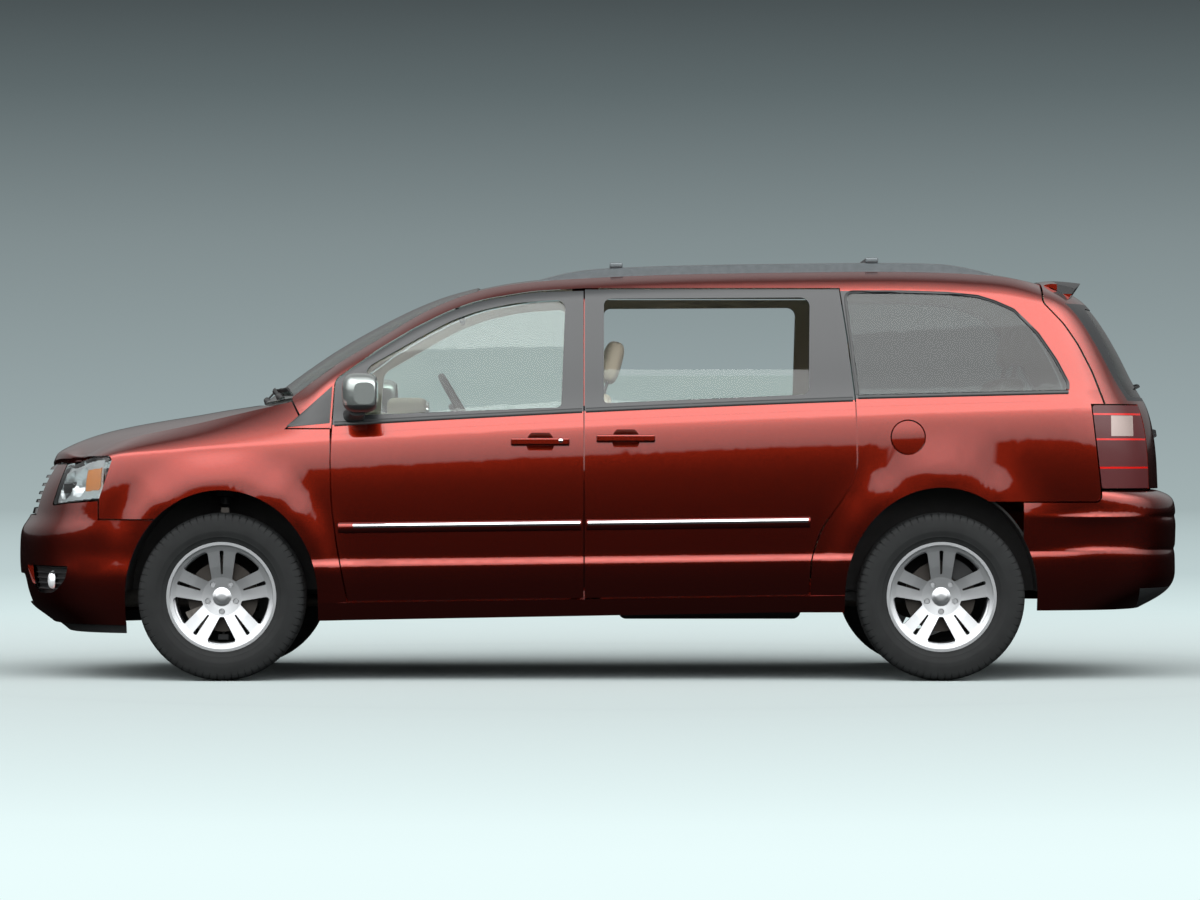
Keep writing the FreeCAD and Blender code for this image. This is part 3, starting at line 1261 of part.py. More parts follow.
wheel_centre = Vector(door_seam + 534, 370, 1148)
column = Vector(-math.cos(math.radians(30)), 0, math.sin(math.radians(30)))
column_hole = Part.makeCylinder(22.05, 400, wheel_centre, column * -1)
dash = prism([(door_seam + 720, 1030, 60), (door_seam + 700, 900, 60), (door_seam + 800, 700, 60), (toe_x, 640),
              (toe_x, 1000), (front_axle - 345, 1130, 20), (front_axle - 420, 1175, 40),
              (front_axle - 560, 1172, 80), (door_seam + 780, 1130, 60)], -720, 720)
console = box(door_seam + 300, door_seam + 800, -110, 110, deck, deck + 260)
console = console.makeFillet(30, [e for e in console.Edges if e.Length > 200 and e.BoundBox.ZMax > deck + 100])
cluster = cushion(door_seam + 690, door_seam + 860, 220, 520, 1080, 1215, 30)
dash = dash.fuse([console, cluster]).cut(column_hole)
for piece in (floor_pan, frame_shape, shape_of("windshield"), *side_shapes):
    dash = dash.cut(piece)
add("dashboard", single(dash))


def steering_wheel():
    ring = Part.makeTorus(size["steering_wheel_radius"], 15, wheel_centre, column)
    hub = Part.makeCylinder(62, 46, wheel_centre - column * 40, column)
    hub = hub.makeFillet(10, hub.Edges)
    shaft = Part.makeCylinder(22, 230, wheel_centre - column * 40, column * -1)
    spokes = []
    for angle in (-8, 188, 270):
        spoke = box(40, size["steering_wheel_radius"], -18, 18, -22, -6)
        spoke.rotate(Vector(0, 0, 0), Vector(0, 0, 1), angle)
        spoke.Placement = Placement(wheel_centre, Rotation(Vector(0, 1, 0), Vector(0, 0, 1), column, "YZX")).multiply(
            spoke.Placement)
        spokes.append(spoke)
    return ring.fuse([hub, shaft, *spokes])


add("steering_wheel", steering_wheel())


# Outside fittings
def rounded_section(y, x, z, half_x, half_z, power=3.2, count=20):
    """Closed smooth wire in a plane across Y, between an oval and a rectangle."""
    points = []
    for i in range(count):
        turn = 2 * math.pi * i / count
        c, t = math.cos(turn), math.sin(turn)
        points.append(Vector(x + math.copysign(half_x * abs(c) ** (2 / power), c), y,
                             z + math.copysign(half_z * abs(t) ** (2 / power), t)))
    curve = Part.BSplineCurve()
    curve.interpolate(points, PeriodicFlag=True)
    return Part.Wire(curve.toShape())


def door_mirror():
    """Housing that rounds off outwards, on a foot that comes out of the door's front corner."""
    x, z = door_front - 130, belt_z(door_front) + 136
    y = side_y(x, z)
    high = size["mirror_height"] / 2
    sections = ((48, 6, -4, 46, 0.62), (62, 3, -2, 62, 0.80), (90, 0, 0, 74, 0.95), (150, -2, 2, 80, 1.0),
                (205, -6, 2, 76, 0.95), (238, -14, 0, 62, 0.78), (252, -22, -2, 44, 0.55))
    shell = Part.makeLoft([rounded_section(y + dy, x + dx, z + dz, half, high * share)
                           for dy, dx, dz, half, share in sections], True, False)
    shell = shell.cut(box(x - 120, x - 70, y, y + 300, z - 120, z + 120))
    foot = Part.makeLoft([rounded_section(y + dy, x + dx, z - 84 + dz, half, tall)
                          for dy, dx, dz, half, tall in ((-40, 36, -12, 52, 34), (40, 30, -6, 44, 28), (110, 14, 14, 34, 26))],
                         True, False)
    return single(shell.fuse(foot).cut(front_panel).cut(pane(front_window, door_seam, door_front, 4)))


add_pair("mirror", door_mirror())

rail_x0, rail_x1 = rear_axle - 244, door_seam + 200


def roof_rail():
    grid_low, grid_high = [], []
    count = 24
    xs = spread(rail_x0, rail_x1, count)
    for across in (-15, -8, 8, 15):
        low, high = [], []
        for i, x in enumerate(xs):
            taper = math.sin(math.pi * min(1.0, 0.06 + 8 * min(i, count - 1 - i) / count) / 2)
            base = roof_edge_y(x) - 52 + across
            z = roof_z(x, base / roof_edge_y(x))
            arch = size["rail_height"] - (5 if abs(across) > 10 else 0)
            low.append(Vector(x, base, z - 6))
            high.append(Vector(x, base, z + arch * taper))
        grid_low.append(low)
        grid_high.append(high)
    rail = slab(grid_high, grid_low)
    bars = []
    for x in (door_seam - 138, door_seam - 1246):
        z = roof_z(x, 0.9) + size["rail_height"] - 4
        bars.append(box(x - 28, x + 28, -roof_edge_y(x) + 40, roof_edge_y(x) - 40, z, z + 24))
    bars = [b.makeFillet(8, b.Edges) for b in bars]
    return rail.fuse([mirrored(rail), *bars]).cut(shape_of("roof_panel"))


add("roof_rails", roof_rail())

fuel_x, fuel_z = rear_axle + 145, crease_z(rear_axle + 145) - 104
fuel_radius = size["fuel_door_radius"]
flap = side_wall(fuel_x - 90, fuel_x + 90, [lambda x, dz=dz: fuel_z + dz for dz in (-90, -45, 0, 45, 90)], 7, 6)
flap = flap.common(Part.makeCylinder(fuel_radius, 300, Vector(fuel_x, 800, fuel_z), Vector(0, 1, 0)))
add("fuel_door", single(flap))
pocket = Part.makeCylinder(fuel_radius + SEAM, 300, Vector(fuel_x, side_y(fuel_x, fuel_z) - 40, fuel_z), Vector(0, 1, 0))
left_side = next(n for n in nodes if n.Label == "body_side_left")
pad = Part.makeCylinder(7, 60, Vector(fuel_x - 40, side_y(fuel_x, fuel_z) - 48, fuel_z), Vector(0, 1, 0))
left_side.Shape = left_side.Shape.cut(pocket).fuse(pad.cut(flap.fuse(box(fuel_x - 90, fuel_x + 90,
                                                                         side_y(fuel_x, fuel_z) - 3, OUT, 900, 1200))))

doc.recompute()
if __name__ == "__main__":
    os.makedirs("parts", exist_ok=True)
    failed = [feature.Label for feature in nodes
              if "Invalid" in feature.State or "Error" in feature.State
              or feature.Shape.isNull() or not feature.Shape.isValid()]
    if failed:
        raise RuntimeError(f"these did not build: {failed}")
    for feature in nodes:
        feature.Shape.exportStep(f"parts/{feature.Label}.step")
        print(feature.Label, len(feature.Shape.Solids), round(feature.Shape.Volume / 1e6, 2))
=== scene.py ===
import json
import math

import bpy
import numpy as np
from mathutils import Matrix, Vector
from mathutils.bvhtree import BVHTree


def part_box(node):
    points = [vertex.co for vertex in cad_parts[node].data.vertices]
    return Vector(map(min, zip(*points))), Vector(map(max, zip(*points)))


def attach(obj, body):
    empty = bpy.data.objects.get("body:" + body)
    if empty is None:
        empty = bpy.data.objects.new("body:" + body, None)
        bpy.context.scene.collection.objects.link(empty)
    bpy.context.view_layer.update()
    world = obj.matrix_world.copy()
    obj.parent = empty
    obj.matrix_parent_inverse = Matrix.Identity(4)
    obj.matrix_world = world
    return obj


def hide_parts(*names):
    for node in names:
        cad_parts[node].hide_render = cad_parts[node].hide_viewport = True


bl_info = {
    "name": "Minivan looks",
    "version": (1, 0, 0),
    "blender": (4, 5, 0),
    "location": "3D View > Sidebar > Minivan",
    "description": "Paint, glass, tyres, seats and trim of a minivan",
    "category": "Object",
}

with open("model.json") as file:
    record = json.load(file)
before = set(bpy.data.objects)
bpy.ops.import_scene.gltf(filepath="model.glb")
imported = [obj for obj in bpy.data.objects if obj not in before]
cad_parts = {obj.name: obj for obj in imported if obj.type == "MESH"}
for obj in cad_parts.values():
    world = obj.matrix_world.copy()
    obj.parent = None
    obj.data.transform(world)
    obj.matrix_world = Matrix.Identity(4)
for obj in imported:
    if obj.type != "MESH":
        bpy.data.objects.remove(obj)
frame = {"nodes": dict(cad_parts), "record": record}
NODES = frame["nodes"]
BODY_OF = {node: body for body, nodes in frame["record"]["behaviour"]["bodies"].items() for node in nodes}
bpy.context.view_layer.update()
MM = 0.001


# The three directions, and how rays are sent at a surface: along which axis, which way and from where
AHEAD, LEFT, UP = np.eye(3)
FROM_LEFT = {"axis": 1, "way": -1, "start": 1.5}
FROM_MIDDLE = {"axis": 1, "way": 1, "start": 0.6}
FROM_BEHIND = {"axis": 0, "way": 1, "start": -3.0}
FROM_MIRROR_BACK = {"axis": 0, "way": 1, "start": 0.5}
FROM_SEATS = {"axis": 0, "way": 1, "start": 0.2}
FROM_CABIN_UP = {"axis": 2, "way": 1, "start": 1.3}

WHEEL = ("front_left", "front_right", "rear_left", "rear_right")
HALF_SEAM = 0.003
DOOR_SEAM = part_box("front_door_left")[0].x - HALF_SEAM
REAR_AXLE = (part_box("tyre_rear_left")[0].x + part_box("tyre_rear_left")[1].x) / 2
FRONT_AXLE = (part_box("tyre_front_left")[0].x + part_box("tyre_front_left")[1].x) / 2
AXLE_HEIGHT = 0.36
# Lower edge of the side windows: height at the door seam, and its rise and curve with the distance behind it
BELT_HEIGHT, BELT_RISE, BELT_CURVE = 1.153, 0.0484, -0.0056


# Colour and shader nodes

def linear(code):
    """Linear colour of an sRGB hex code."""
    parts = [int(code[i:i + 2], 16) / 255 for i in (1, 3, 5)]
    return (*[p / 12.92 if p <= 0.04045 else ((p + 0.055) / 1.055) ** 2.4 for p in parts], 1.0)


def add_node(tree, kind, inputs=None, **settings):
    """Adds a node. Settings are its own attributes, inputs maps its sockets to values or to other sockets."""
    made = tree.nodes.new(kind)
    for key, value in settings.items():
        setattr(made, key, value)
    for key, value in (inputs or {}).items():
        if isinstance(value, bpy.types.NodeSocket):
            tree.links.new(value, made.inputs[key])
        else:
            made.inputs[key].default_value = value
    return made


def new_material(name, **values):
    """A material with one Principled shader, whose sockets are named with spaces as underscores."""
    made = bpy.data.materials.new(name)
    made.use_nodes = True
    tree = made.node_tree
    tree.nodes.clear()
    shader = add_node(tree, "ShaderNodeBsdfPrincipled")
    for key, value in values.items():
        shader.inputs[key.replace("_", " ")].default_value = value
    add_node(tree, "ShaderNodeOutputMaterial", {"Surface": shader.outputs["BSDF"]})
    return made, tree, shader


def place_of(tree):
    """Object coordinates, which are metres in the vehicle's own frame."""
    return add_node(tree, "ShaderNodeTexCoord").outputs["Object"]


def noise(tree, size_mm, detail=2.0, where=None, rough=0.5):
    """Noise whose features are about size_mm wide."""
    return add_node(tree, "ShaderNodeTexNoise", {
        "Vector": where or place_of(tree), "Scale": 1 / (size_mm * MM), "Detail": detail, "Roughness": rough})


def bump(tree, shader, height, strength, depth_mm):
    """Unevenness of the given depth, laid on a shader."""
    made = add_node(tree, "ShaderNodeBump", {"Height": height, "Strength": strength,
                                             "Distance": depth_mm * MM})
    tree.links.new(made.outputs["Normal"], shader.inputs["Normal"])
    return made


def blend_colours(tree, share, first, second):
    """Colour between two hex codes or sockets, by the share of the second."""
    mix = add_node(tree, "ShaderNodeMix", data_type="RGBA")
    factor, first_colour, second_colour, result = mix.inputs[0], mix.inputs[6], mix.inputs[7], mix.outputs[2]
    tree.links.new(share, factor)
    for socket, value in ((first_colour, first), (second_colour, second)):
        if isinstance(value, bpy.types.NodeSocket):
            tree.links.new(value, socket)
        else:
            socket.default_value = linear(value)
    return result


def math_node(tree, operation, first, second=0.0, third=0.0):
    """Result of one sum on values or sockets."""
    return add_node(tree, "ShaderNodeMath", {0: first, 1: second, 2: third}, operation=operation).outputs[0]


# Surfaces from arrays. A part is its points and its faces, which point outwards.

def quads(rows, columns, close_rows=False, close_columns=False):
    """Faces of a grid of points: the four corners of every cell, in whole arrays."""
    i = np.arange(rows if close_rows else rows - 1)[:, None]
    j = np.arange(columns if close_columns else columns - 1)[None, :]
    after_i, after_j = (i + 1) % rows, (j + 1) % columns
    corners = [i * columns + j, i * columns + after_j, after_i * columns + after_j, after_i * columns + j]
    return np.stack(np.broadcast_arrays(*corners), -1).reshape(-1, 4).tolist()


def facing_out(points, faces):
    """Turns a closed part inside out where its volume, summed over its triangles, comes out negative."""
    fans = np.array([(f[0], f[k], f[k + 1]) for f in faces for k in range(1, len(f) - 1)])
    a, b, c = points[fans[:, 0]], points[fans[:, 1]], points[fans[:, 2]]
    if np.einsum("ij,ij->i", a, np.cross(b, c)).sum() < 0:
        faces = [face[::-1] for face in faces]
    return points, faces


def closed_grid(grid, close_rows=False, close_columns=True):
    """Closed part from an array of rows of points. Where the rows don't close up, each end gets a cap."""
    rows, columns = grid.shape[:2]
    faces = quads(rows, columns, close_rows, close_columns)
    if not close_rows:
        faces += [list(range(columns))[::-1], list(range((rows - 1) * columns, rows * columns))]
    return facing_out(grid.reshape(-1, 3), faces)


def curve_through(points, spans):
    """Smooth curve through the points: on each span a cubic that leaves each point along the line between
    that point's neighbours."""
    points = np.asarray(points, float)
    slopes = np.gradient(points, axis=0)
    share = np.linspace(0, 1, spans, endpoint=False)[:, None]
    h = (2 * share ** 3 - 3 * share ** 2 + 1, share ** 3 - 2 * share ** 2 + share,
         3 * share ** 2 - 2 * share ** 3, share ** 3 - share ** 2)
    a, b, p, q = points[:-1, None], points[1:, None], slopes[:-1, None], slopes[1:, None]
    curve = h[0] * a + h[1] * p + h[2] * b + h[3] * q
    return np.concatenate([curve.reshape(-1, points.shape[1]), points[-1:]])


def unit(vectors):
    """Each vector at length 1."""
    return vectors / np.linalg.norm(vectors, axis=-1, keepdims=True)


def swept(path, out, profile, closed=False, scale=None):
    """A closed profile carried along a path. Corner (a, b) of the profile lies a along the side of the path
    and b along its outward direction, times the scale at that place."""
    path, profile = np.asarray(path, float), np.asarray(profile, float)
    along = np.roll(path, -1, 0) - np.roll(path, 1, 0) if closed else np.gradient(path, axis=0)
    along = unit(along)
    out = np.broadcast_to(np.asarray(out, float), path.shape)
    out = unit(out - (out * along).sum(1, keepdims=True) * along)
    side = np.cross(along, out)
    size = np.ones(len(path)) if scale is None else np.asarray(scale, float)
    grid = (path[:, None] + side[:, None] * (profile[:, 0] * size[:, None])[..., None]
            + out[:, None] * (profile[:, 1] * size[:, None])[..., None])
    return closed_grid(grid, close_rows=closed)


def rounded(width, height, power=4.0, count=16):
    """Section of a rounded bar: a curve between an ellipse and a rectangle."""
    angle = np.linspace(0, 2 * np.pi, count, endpoint=False)
    c, s = np.cos(angle), np.sin(angle)
    return np.stack([np.sign(c) * np.abs(c) ** (2 / power) * width / 2,
                     np.sign(s) * np.abs(s) ** (2 / power) * height / 2], 1)


def spun_about(profile, centre, axis=(0, 1, 0), count=64):
    """Turns a section about an axis through centre: corner (a, r) goes round at radius r, a along it."""
    profile = np.asarray(profile, float)
    axis = unit(np.asarray(axis, float))
    aslant = (0.3, 0.2, 1.0)
    first = unit(np.cross(axis, aslant))
    second = np.cross(axis, first)
    angle = np.linspace(0, 2 * np.pi, count, endpoint=False)
    ring = np.cos(angle)[:, None] * first + np.sin(angle)[:, None] * second
    grid = np.asarray(centre) + ring[:, None] * profile[None, :, 1:] + axis * profile[None, :, :1]
    return closed_grid(grid, close_rows=True)


def mirrored(part):
    """The part on the other side of the middle plane, its faces turned to point outwards again."""
    points, faces = part
    return points * (1, -1, 1), [face[::-1] for face in faces]


def joined(parts):
    """Several parts as one, each with its faces counted on from the last."""
    points, faces, start = [], [], 0
    for more, cells in parts:
        points.append(more)
        faces += [[start + k for k in cell] for cell in cells]
        start += len(more)
    return np.concatenate(points), faces


def piece(name, parts, material, body, replaces=(), slot=None, sharp=40):
    """One object made of parts, finished and riding on its body. Edges sharper than the angle stay sharp."""
    points, faces = joined(parts)
    made = bpy.data.meshes.new(name)
    made.from_pydata(points.tolist(), [], faces)
    made.polygons.foreach_set("use_smooth", np.ones(len(made.polygons), bool))
    made.set_sharp_from_angle(angle=math.radians(sharp))
    made.materials.append(MATERIALS[material])
    made.update()
    placed = bpy.data.objects.new(name, made)
    bpy.context.scene.collection.objects.link(placed)
    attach(placed, body)
    if replaces:
        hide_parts(*replaces)
    return placed


def both_sides(name, parts, material, bodies, **more):
    """The same piece on the left and, mirrored, on the right."""
    left = piece(name + "_left", parts, material, bodies[0], **more)
    right = piece(name + "_right", [mirrored(p) for p in parts], material, bodies[1], **more)
    return left, right


# Materials, each named for the real one

def within(tree, axes, **limits):
    """1 inside a box given by the low and high limits of x, y or z, and 0 outside it."""
    inside = 1.0
    for axis, (low, high) in limits.items():
        near = math_node(tree, "COMPARE", axes.outputs[axis.upper()], (low + high) / 2, (high - low) / 2)
        inside = math_node(tree, "MULTIPLY", near, inside)
    return inside


def over(tree, first, share, second):
    """Value that goes from first to second with the share."""
    return math_node(tree, "MULTIPLY_ADD", share, math_node(tree, "SUBTRACT", second, first), first)


def coats(tree, shader, base, layers):
    """Lays finishes over a base. A finish is its mask, then its colour, metallic, roughness and coat."""
    colour, *values = base
    for share, tone, *amounts in layers:
        colour = blend_colours(tree, share, colour, tone)
        values = [over(tree, value, share, amount) for value, amount in zip(values, amounts)]
    tree.links.new(colour, shader.inputs["Base Color"])
    for socket, value in zip(("Metallic", "Roughness", "Coat Weight"), values):
        if isinstance(value, bpy.types.NodeSocket):
            tree.links.new(value, shader.inputs[socket])
        else:
            shader.inputs[socket].default_value = value


# Finishes: colour, metallic, roughness and coat weight
SATIN_BLACK = ("#15181A", 0.0, 0.32, 0.0)
STONE_TRIM = ("#A79D8B", 0.0, 0.75, 0.0)
SLATE_PLASTIC = ("#17191A", 0.0, 0.55, 0.0)


ASLANT = 0.2


def normal_along(tree, axis):
    """How far a face looks along X, Y or Z."""
    facing = add_node(tree, "ShaderNodeTexCoord").outputs["Normal"]
    return add_node(tree, "ShaderNodeSeparateXYZ", {"Vector": facing}).outputs[axis]


def inward(tree, axes):
    """1 on faces that look towards the cabin: across the vehicle they face against the side they lie on."""
    across = normal_along(tree, "Y")
    towards = math_node(tree, "MULTIPLY", across, math_node(tree, "SIGN", axes.outputs["Y"]))
    return math_node(tree, "LESS_THAN", towards, -ASLANT)


def downward(tree):
    """1 on faces that look down."""
    return math_node(tree, "LESS_THAN", normal_along(tree, "Z"), -ASLANT)


def copper_red_lacquer(name, colour, flake_colour, layers_of=None):
    """Metal-flake base coat under clear lacquer. The eye sees a deep coppery red, crisp reflections and a
    fine glitter. Flakes are far below a millimetre, so they are drawn 3 mm wide to show at all. layers_of
    adds masks for the places where the same panel is black or trimmed."""
    made, tree, shader = new_material(name, Coat_Roughness=0.02)
    place = place_of(tree)
    axes = add_node(tree, "ShaderNodeSeparateXYZ", {"Vector": place})
    red = blend_colours(tree, noise(tree, 3, 1.0, place).outputs["Fac"], colour, flake_colour)
    layers = layers_of(tree, axes) if layers_of else []
    coats(tree, shader, (red, 1.0, 0.26, 1.0), layers)
    bump(tree, shader, noise(tree, 2, 0.0, place).outputs["Fac"], 0.05, 0.4)
    return made


def door_layers(tree, axes):
    """Satin black window frames above the belt line, stone trim inside."""
    back = math_node(tree, "SUBTRACT", DOOR_SEAM, axes.outputs["X"])
    line = math_node(tree, "MULTIPLY_ADD", back, BELT_CURVE, BELT_RISE)
    line = math_node(tree, "MULTIPLY_ADD", line, back, BELT_HEIGHT)
    above = math_node(tree, "GREATER_THAN", axes.outputs["Z"], line)
    return [(above, *SATIN_BLACK), (inward(tree, axes), *STONE_TRIM)]


def side_layers(tree, axes):
    """Black pillar strip ahead of the rear quarter glass, stone trim inside above the floor."""
    strip = within(tree, axes, x=(-1.125, -0.98), z=(1.206, 1.672))
    trim = math_node(tree, "MULTIPLY", inward(tree, axes), within(tree, axes, z=(0.43, 1.9)))
    return [(strip, *SATIN_BLACK), (trim, *STONE_TRIM)]


def roof_layers(tree, axes):
    """Pale headlining on the underside."""
    return [(downward(tree), "#B9B1A3", 0.0, 0.9, 0.0)]


def gate_layers(tree, axes):
    """Dark spoiler, dark frame round the rear window, stone trim inside."""
    spoiler = within(tree, axes, x=(-2.3, -1.985), z=(1.665, 1.8))
    frame_z = within(tree, axes, z=(1.2, 1.62), y=(-0.72, 0.72))
    inside = math_node(tree, "GREATER_THAN", normal_along(tree, "X"), ASLANT)
    inside = math_node(tree, "MULTIPLY", inside, within(tree, axes, z=(0.8, 1.655)))
    return [(frame_z, *SATIN_BLACK), (inside, *STONE_TRIM), (spoiler, *SLATE_PLASTIC)]


def bumper_layers(tree, axes):
    """Slate plastic valance along the lower edge."""
    return [(within(tree, axes, x=(-2.7, -2.33), z=(0.2, 0.392)), *SLATE_PLASTIC)]


DISC_RADIUS, SPOKE_BACK_Y = 0.1545, 0.842


def alloy_layers(tree, axes):
    """Cast brake disc and hub inside the wheel: near the axle in height and length, behind the spokes."""
    height = math_node(tree, "POWER", math_node(tree, "SUBTRACT", axes.outputs["Z"], AXLE_HEIGHT), 2.0)
    inside = 0.0
    for axle in (FRONT_AXLE, REAR_AXLE):
        length = math_node(tree, "POWER", math_node(tree, "SUBTRACT", axes.outputs["X"], axle), 2.0)
        near = math_node(tree, "LESS_THAN", math_node(tree, "ADD", length, height), DISC_RADIUS ** 2)
        inside = math_node(tree, "MAXIMUM", near, inside)
    behind = math_node(tree, "LESS_THAN", math_node(tree, "ABSOLUTE", axes.outputs["Y"]), SPOKE_BACK_Y)
    return [(math_node(tree, "MULTIPLY", inside, behind), "#3C3936", 0.9, 0.42, 0.0)]


def lamp_layers(tree, axes):
    """Tail lamp: clear windows for the reversing lamp, and painted highlights: brighter, glossier red lines
    where the ribbed lens catches the light.
    """
    layers = [(within(tree, axes, z=(1.048, 1.136), x=(-2.30, -2.195)), "#8E7F7A", 0.2, 0.12, 0.4)]
    # Painted highlights: brighter red lines along the ribs of the lens
    for z in (0.908, 1.030, 1.138):
        layers.append((within(tree, axes, z=(z, z + 0.008)), "#A8140F", 0.0, 0.1, 0.4))
    return layers


def mirror_layers(tree, axes):
    """Chrome cap over a black foot, black inside the rear edge."""
    return [(within(tree, axes, z=(1.178, 1.4), x=(0.9475, 1.3)), "#8E9492", 0.8, 0.15, 0.0)]


def finished(name, base, layers_of=None, **constants):
    """One moulding or casting with a faint cloudiness, whose finish may change with the place on it. It
    serves for clear-coated acrylic, which looks deep, and for plated and painted faces, which look crisp."""
    made, tree, shader = new_material(name, **constants)
    axes = add_node(tree, "ShaderNodeSeparateXYZ", {"Vector": place_of(tree)})
    grain = noise(tree, 3, 1.0)
    tone = blend_colours(tree, math_node(tree, "MULTIPLY", grain.outputs["Fac"], 0.02), base[0], "#FFFFFF")
    coats(tree, shader, (tone, *base[1:]), layers_of(tree, axes) if layers_of else [])
    return made


def moulded_plastic(name, colour, grain_mm=1.6, roughness=0.55):
    """Injection-moulded ABS or polypropylene with an eroded grain, which softens its reflections."""
    made, tree, shader = new_material(name, Roughness=roughness, IOR=1.46)
    place = place_of(tree)
    tone = noise(tree, 60, 3.0, place)
    tree.links.new(blend_colours(tree, tone.outputs["Fac"], *colour), shader.inputs["Base Color"])
    grain = add_node(tree, "ShaderNodeTexVoronoi", {"Vector": place, "Scale": 1 / (grain_mm * MM)})
    bump(tree, shader, grain.outputs["Distance"], 0.25, 0.3)
    return made


def float_glass(name, colour):
    """Tempered float glass or clear polycarbonate, a little green or dark in the mass, polished."""
    return new_material(name, Base_Color=linear(colour), Roughness=0.0, IOR=1.45, Transmission_Weight=1.0)[0]


def bright_plate(name="bright_nickel_chrome", colour="#E4E6E8", roughness=0.06):
    """Chrome over nickel on plastic: a hard mirror with a slight orange peel."""
    made, tree, shader = new_material(name, Base_Color=linear(colour), Metallic=1.0, Roughness=roughness)
    bump(tree, shader, noise(tree, 30, 1.0).outputs["Fac"], 0.04, 0.5)
    return made


def rough_metal(name, dark, light, size_mm, roughness, metallic=0.7):
    """Bare or underseal-coated metal with stains: blotches of two tones and an uneven gloss."""
    made, tree, shader = new_material(name, Metallic=metallic)
    place = place_of(tree)
    blotches = noise(tree, size_mm, 4.0, place)
    tree.links.new(blend_colours(tree, blotches.outputs["Fac"], dark, light), shader.inputs["Base Color"])
    tree.links.new(math_node(tree, "MULTIPLY_ADD", blotches.outputs["Fac"], 0.25, roughness - 0.12),
                   shader.inputs["Roughness"])
    bump(tree, shader, noise(tree, 4, 3.0, place).outputs["Fac"], 0.3, 0.5)
    return made


def black_rubber():
    """Carbon-black tyre rubber: nearly no gloss, a dusty bloom and mould lines on the side walls."""
    made, tree, shader = new_material("tyre_rubber_compound", Roughness=0.72, Specular_IOR_Level=0.2)
    place = place_of(tree)
    bloom = noise(tree, 45, 3.0, place)
    colour = blend_colours(tree, bloom.outputs["Fac"], "#0C0D0E", "#181A1A")
    tree.links.new(colour, shader.inputs["Base Color"])
    bump(tree, shader, noise(tree, 3, 2.0, place).outputs["Fac"], 0.2, 0.3)
    return made


def woven_cloth():
    """Flat-woven seat fabric in warm stone. Its 2 mm threads are drawn 4 mm wide, so that they show."""
    made, tree, shader = new_material("stone_woven_seat_cloth", Roughness=0.9, Sheen_Weight=0.25,
                                      Sheen_Roughness=0.5)
    place = place_of(tree)
    threads = add_node(tree, "ShaderNodeTexWave", {"Vector": place, "Scale": 80.0, "Distortion": 0.4},
                       bands_direction="DIAGONAL")
    colour = blend_colours(tree, threads.outputs["Fac"], "#A79D8B", "#BDB4A3")
    tree.links.new(colour, shader.inputs["Base Color"])
    bump(tree, shader, threads.outputs["Fac"], 0.3, 0.6)
    return made


MATERIALS = {}


def make_materials(colours):
    """Makes every material once, under a short name for each use."""
    paint = (colours.paint, colours.flake)
    MATERIALS.update({
        "paint": copper_red_lacquer("copper_red_lacquer", *paint),
        "door_paint": copper_red_lacquer("lacquer_and_satin_black", *paint, layers_of=door_layers),
        "side_paint": copper_red_lacquer("lacquer_on_body_side", *paint, layers_of=side_layers),
        "roof_paint": copper_red_lacquer("lacquer_and_headlining", *paint, layers_of=roof_layers),
        "gate_paint": copper_red_lacquer("lacquer_on_liftgate", *paint, layers_of=gate_layers),
        "bumper_paint": copper_red_lacquer("lacquer_on_rear_bumper", *paint, layers_of=bumper_layers),
        "black": moulded_plastic("satin_black_window_trim", ("#101314", "#171A1B"), 1.2, 0.34),
        "dark_plastic": moulded_plastic("grained_black_polypropylene", ("#0C0D0E", "#151617"), 2.0, 0.6),
        "mirror": finished("chrome_cap_on_black_foot", ("#121415", 0.0, 0.4, 0.0), mirror_layers),
        "clear_glass": float_glass("green_tempered_glass", "#E9F3EE"),
        "tinted_glass": float_glass("privacy_glass", "#7C8785"),
        "lens": float_glass("polycarbonate_lens", "#F4F7F7"),
        "tail_lens": finished("red_acrylic_with_painted_rib_highlights", ("#3C0306", 0.0, 0.3, 0.12), lamp_layers,
                              Coat_Roughness=0.02, Specular_IOR_Level=0.3),
        "red_lens": finished("red_acrylic", ("#A30C14", 0.0, 0.15, 1.0)),
        "amber_lens": finished("amber_acrylic", ("#F08A12", 0.1, 0.2, 1.0)),
        "chrome": bright_plate(),
        "mirror_glass": bright_plate("silvered_glass", "#D9DDE0", 0.02),
        "reflector": finished("vacuum_plated_reflector", ("#E9EDEF", 0.55, 0.28, 0.0)),
        "alloy": finished("silver_painted_alloy", ("#A4A7A9", 0.85, 0.3, 0.5), alloy_layers),
        "rubber": black_rubber(),
        "underseal": rough_metal("underseal_on_steel", "#111010", "#1D1B1A", 40, 0.75, 0.1),
        "dark_steel": rough_metal("black_dipped_steel", "#101112", "#1D1F20", 30, 0.5, 0.4),
        "cast_iron": rough_metal("machined_cast_iron", "#4A4744", "#6F6B66", 20, 0.45, 0.9),
        "tank": moulded_plastic("blow_moulded_tank", ("#0C0C0C", "#151515"), 3.0, 0.5),
        "exhaust": rough_metal("aluminised_exhaust_steel", "#3A3631", "#57514B", 35, 0.5, 0.9),
        "cloth": woven_cloth(),
        "cabin": moulded_plastic("stone_cabin_plastic", ("#9D9486", "#A89F91"), 1.4, 0.6),
        "dark_cabin": moulded_plastic("slate_cabin_plastic", ("#3A3B3C", "#464748"), 1.4, 0.6),
        "screen": moulded_plastic("smoked_acrylic_screen", ("#0A0C0E", "#101215"), 1.0, 0.12),
        "plate": moulded_plastic("blank_reflective_plate", ("#6E7272", "#787C7C"), 1.5, 0.45),
        "rail": rough_metal("grey_anodised_rail", "#4E5456", "#5E6467", 25, 0.35, 0.6),
    })


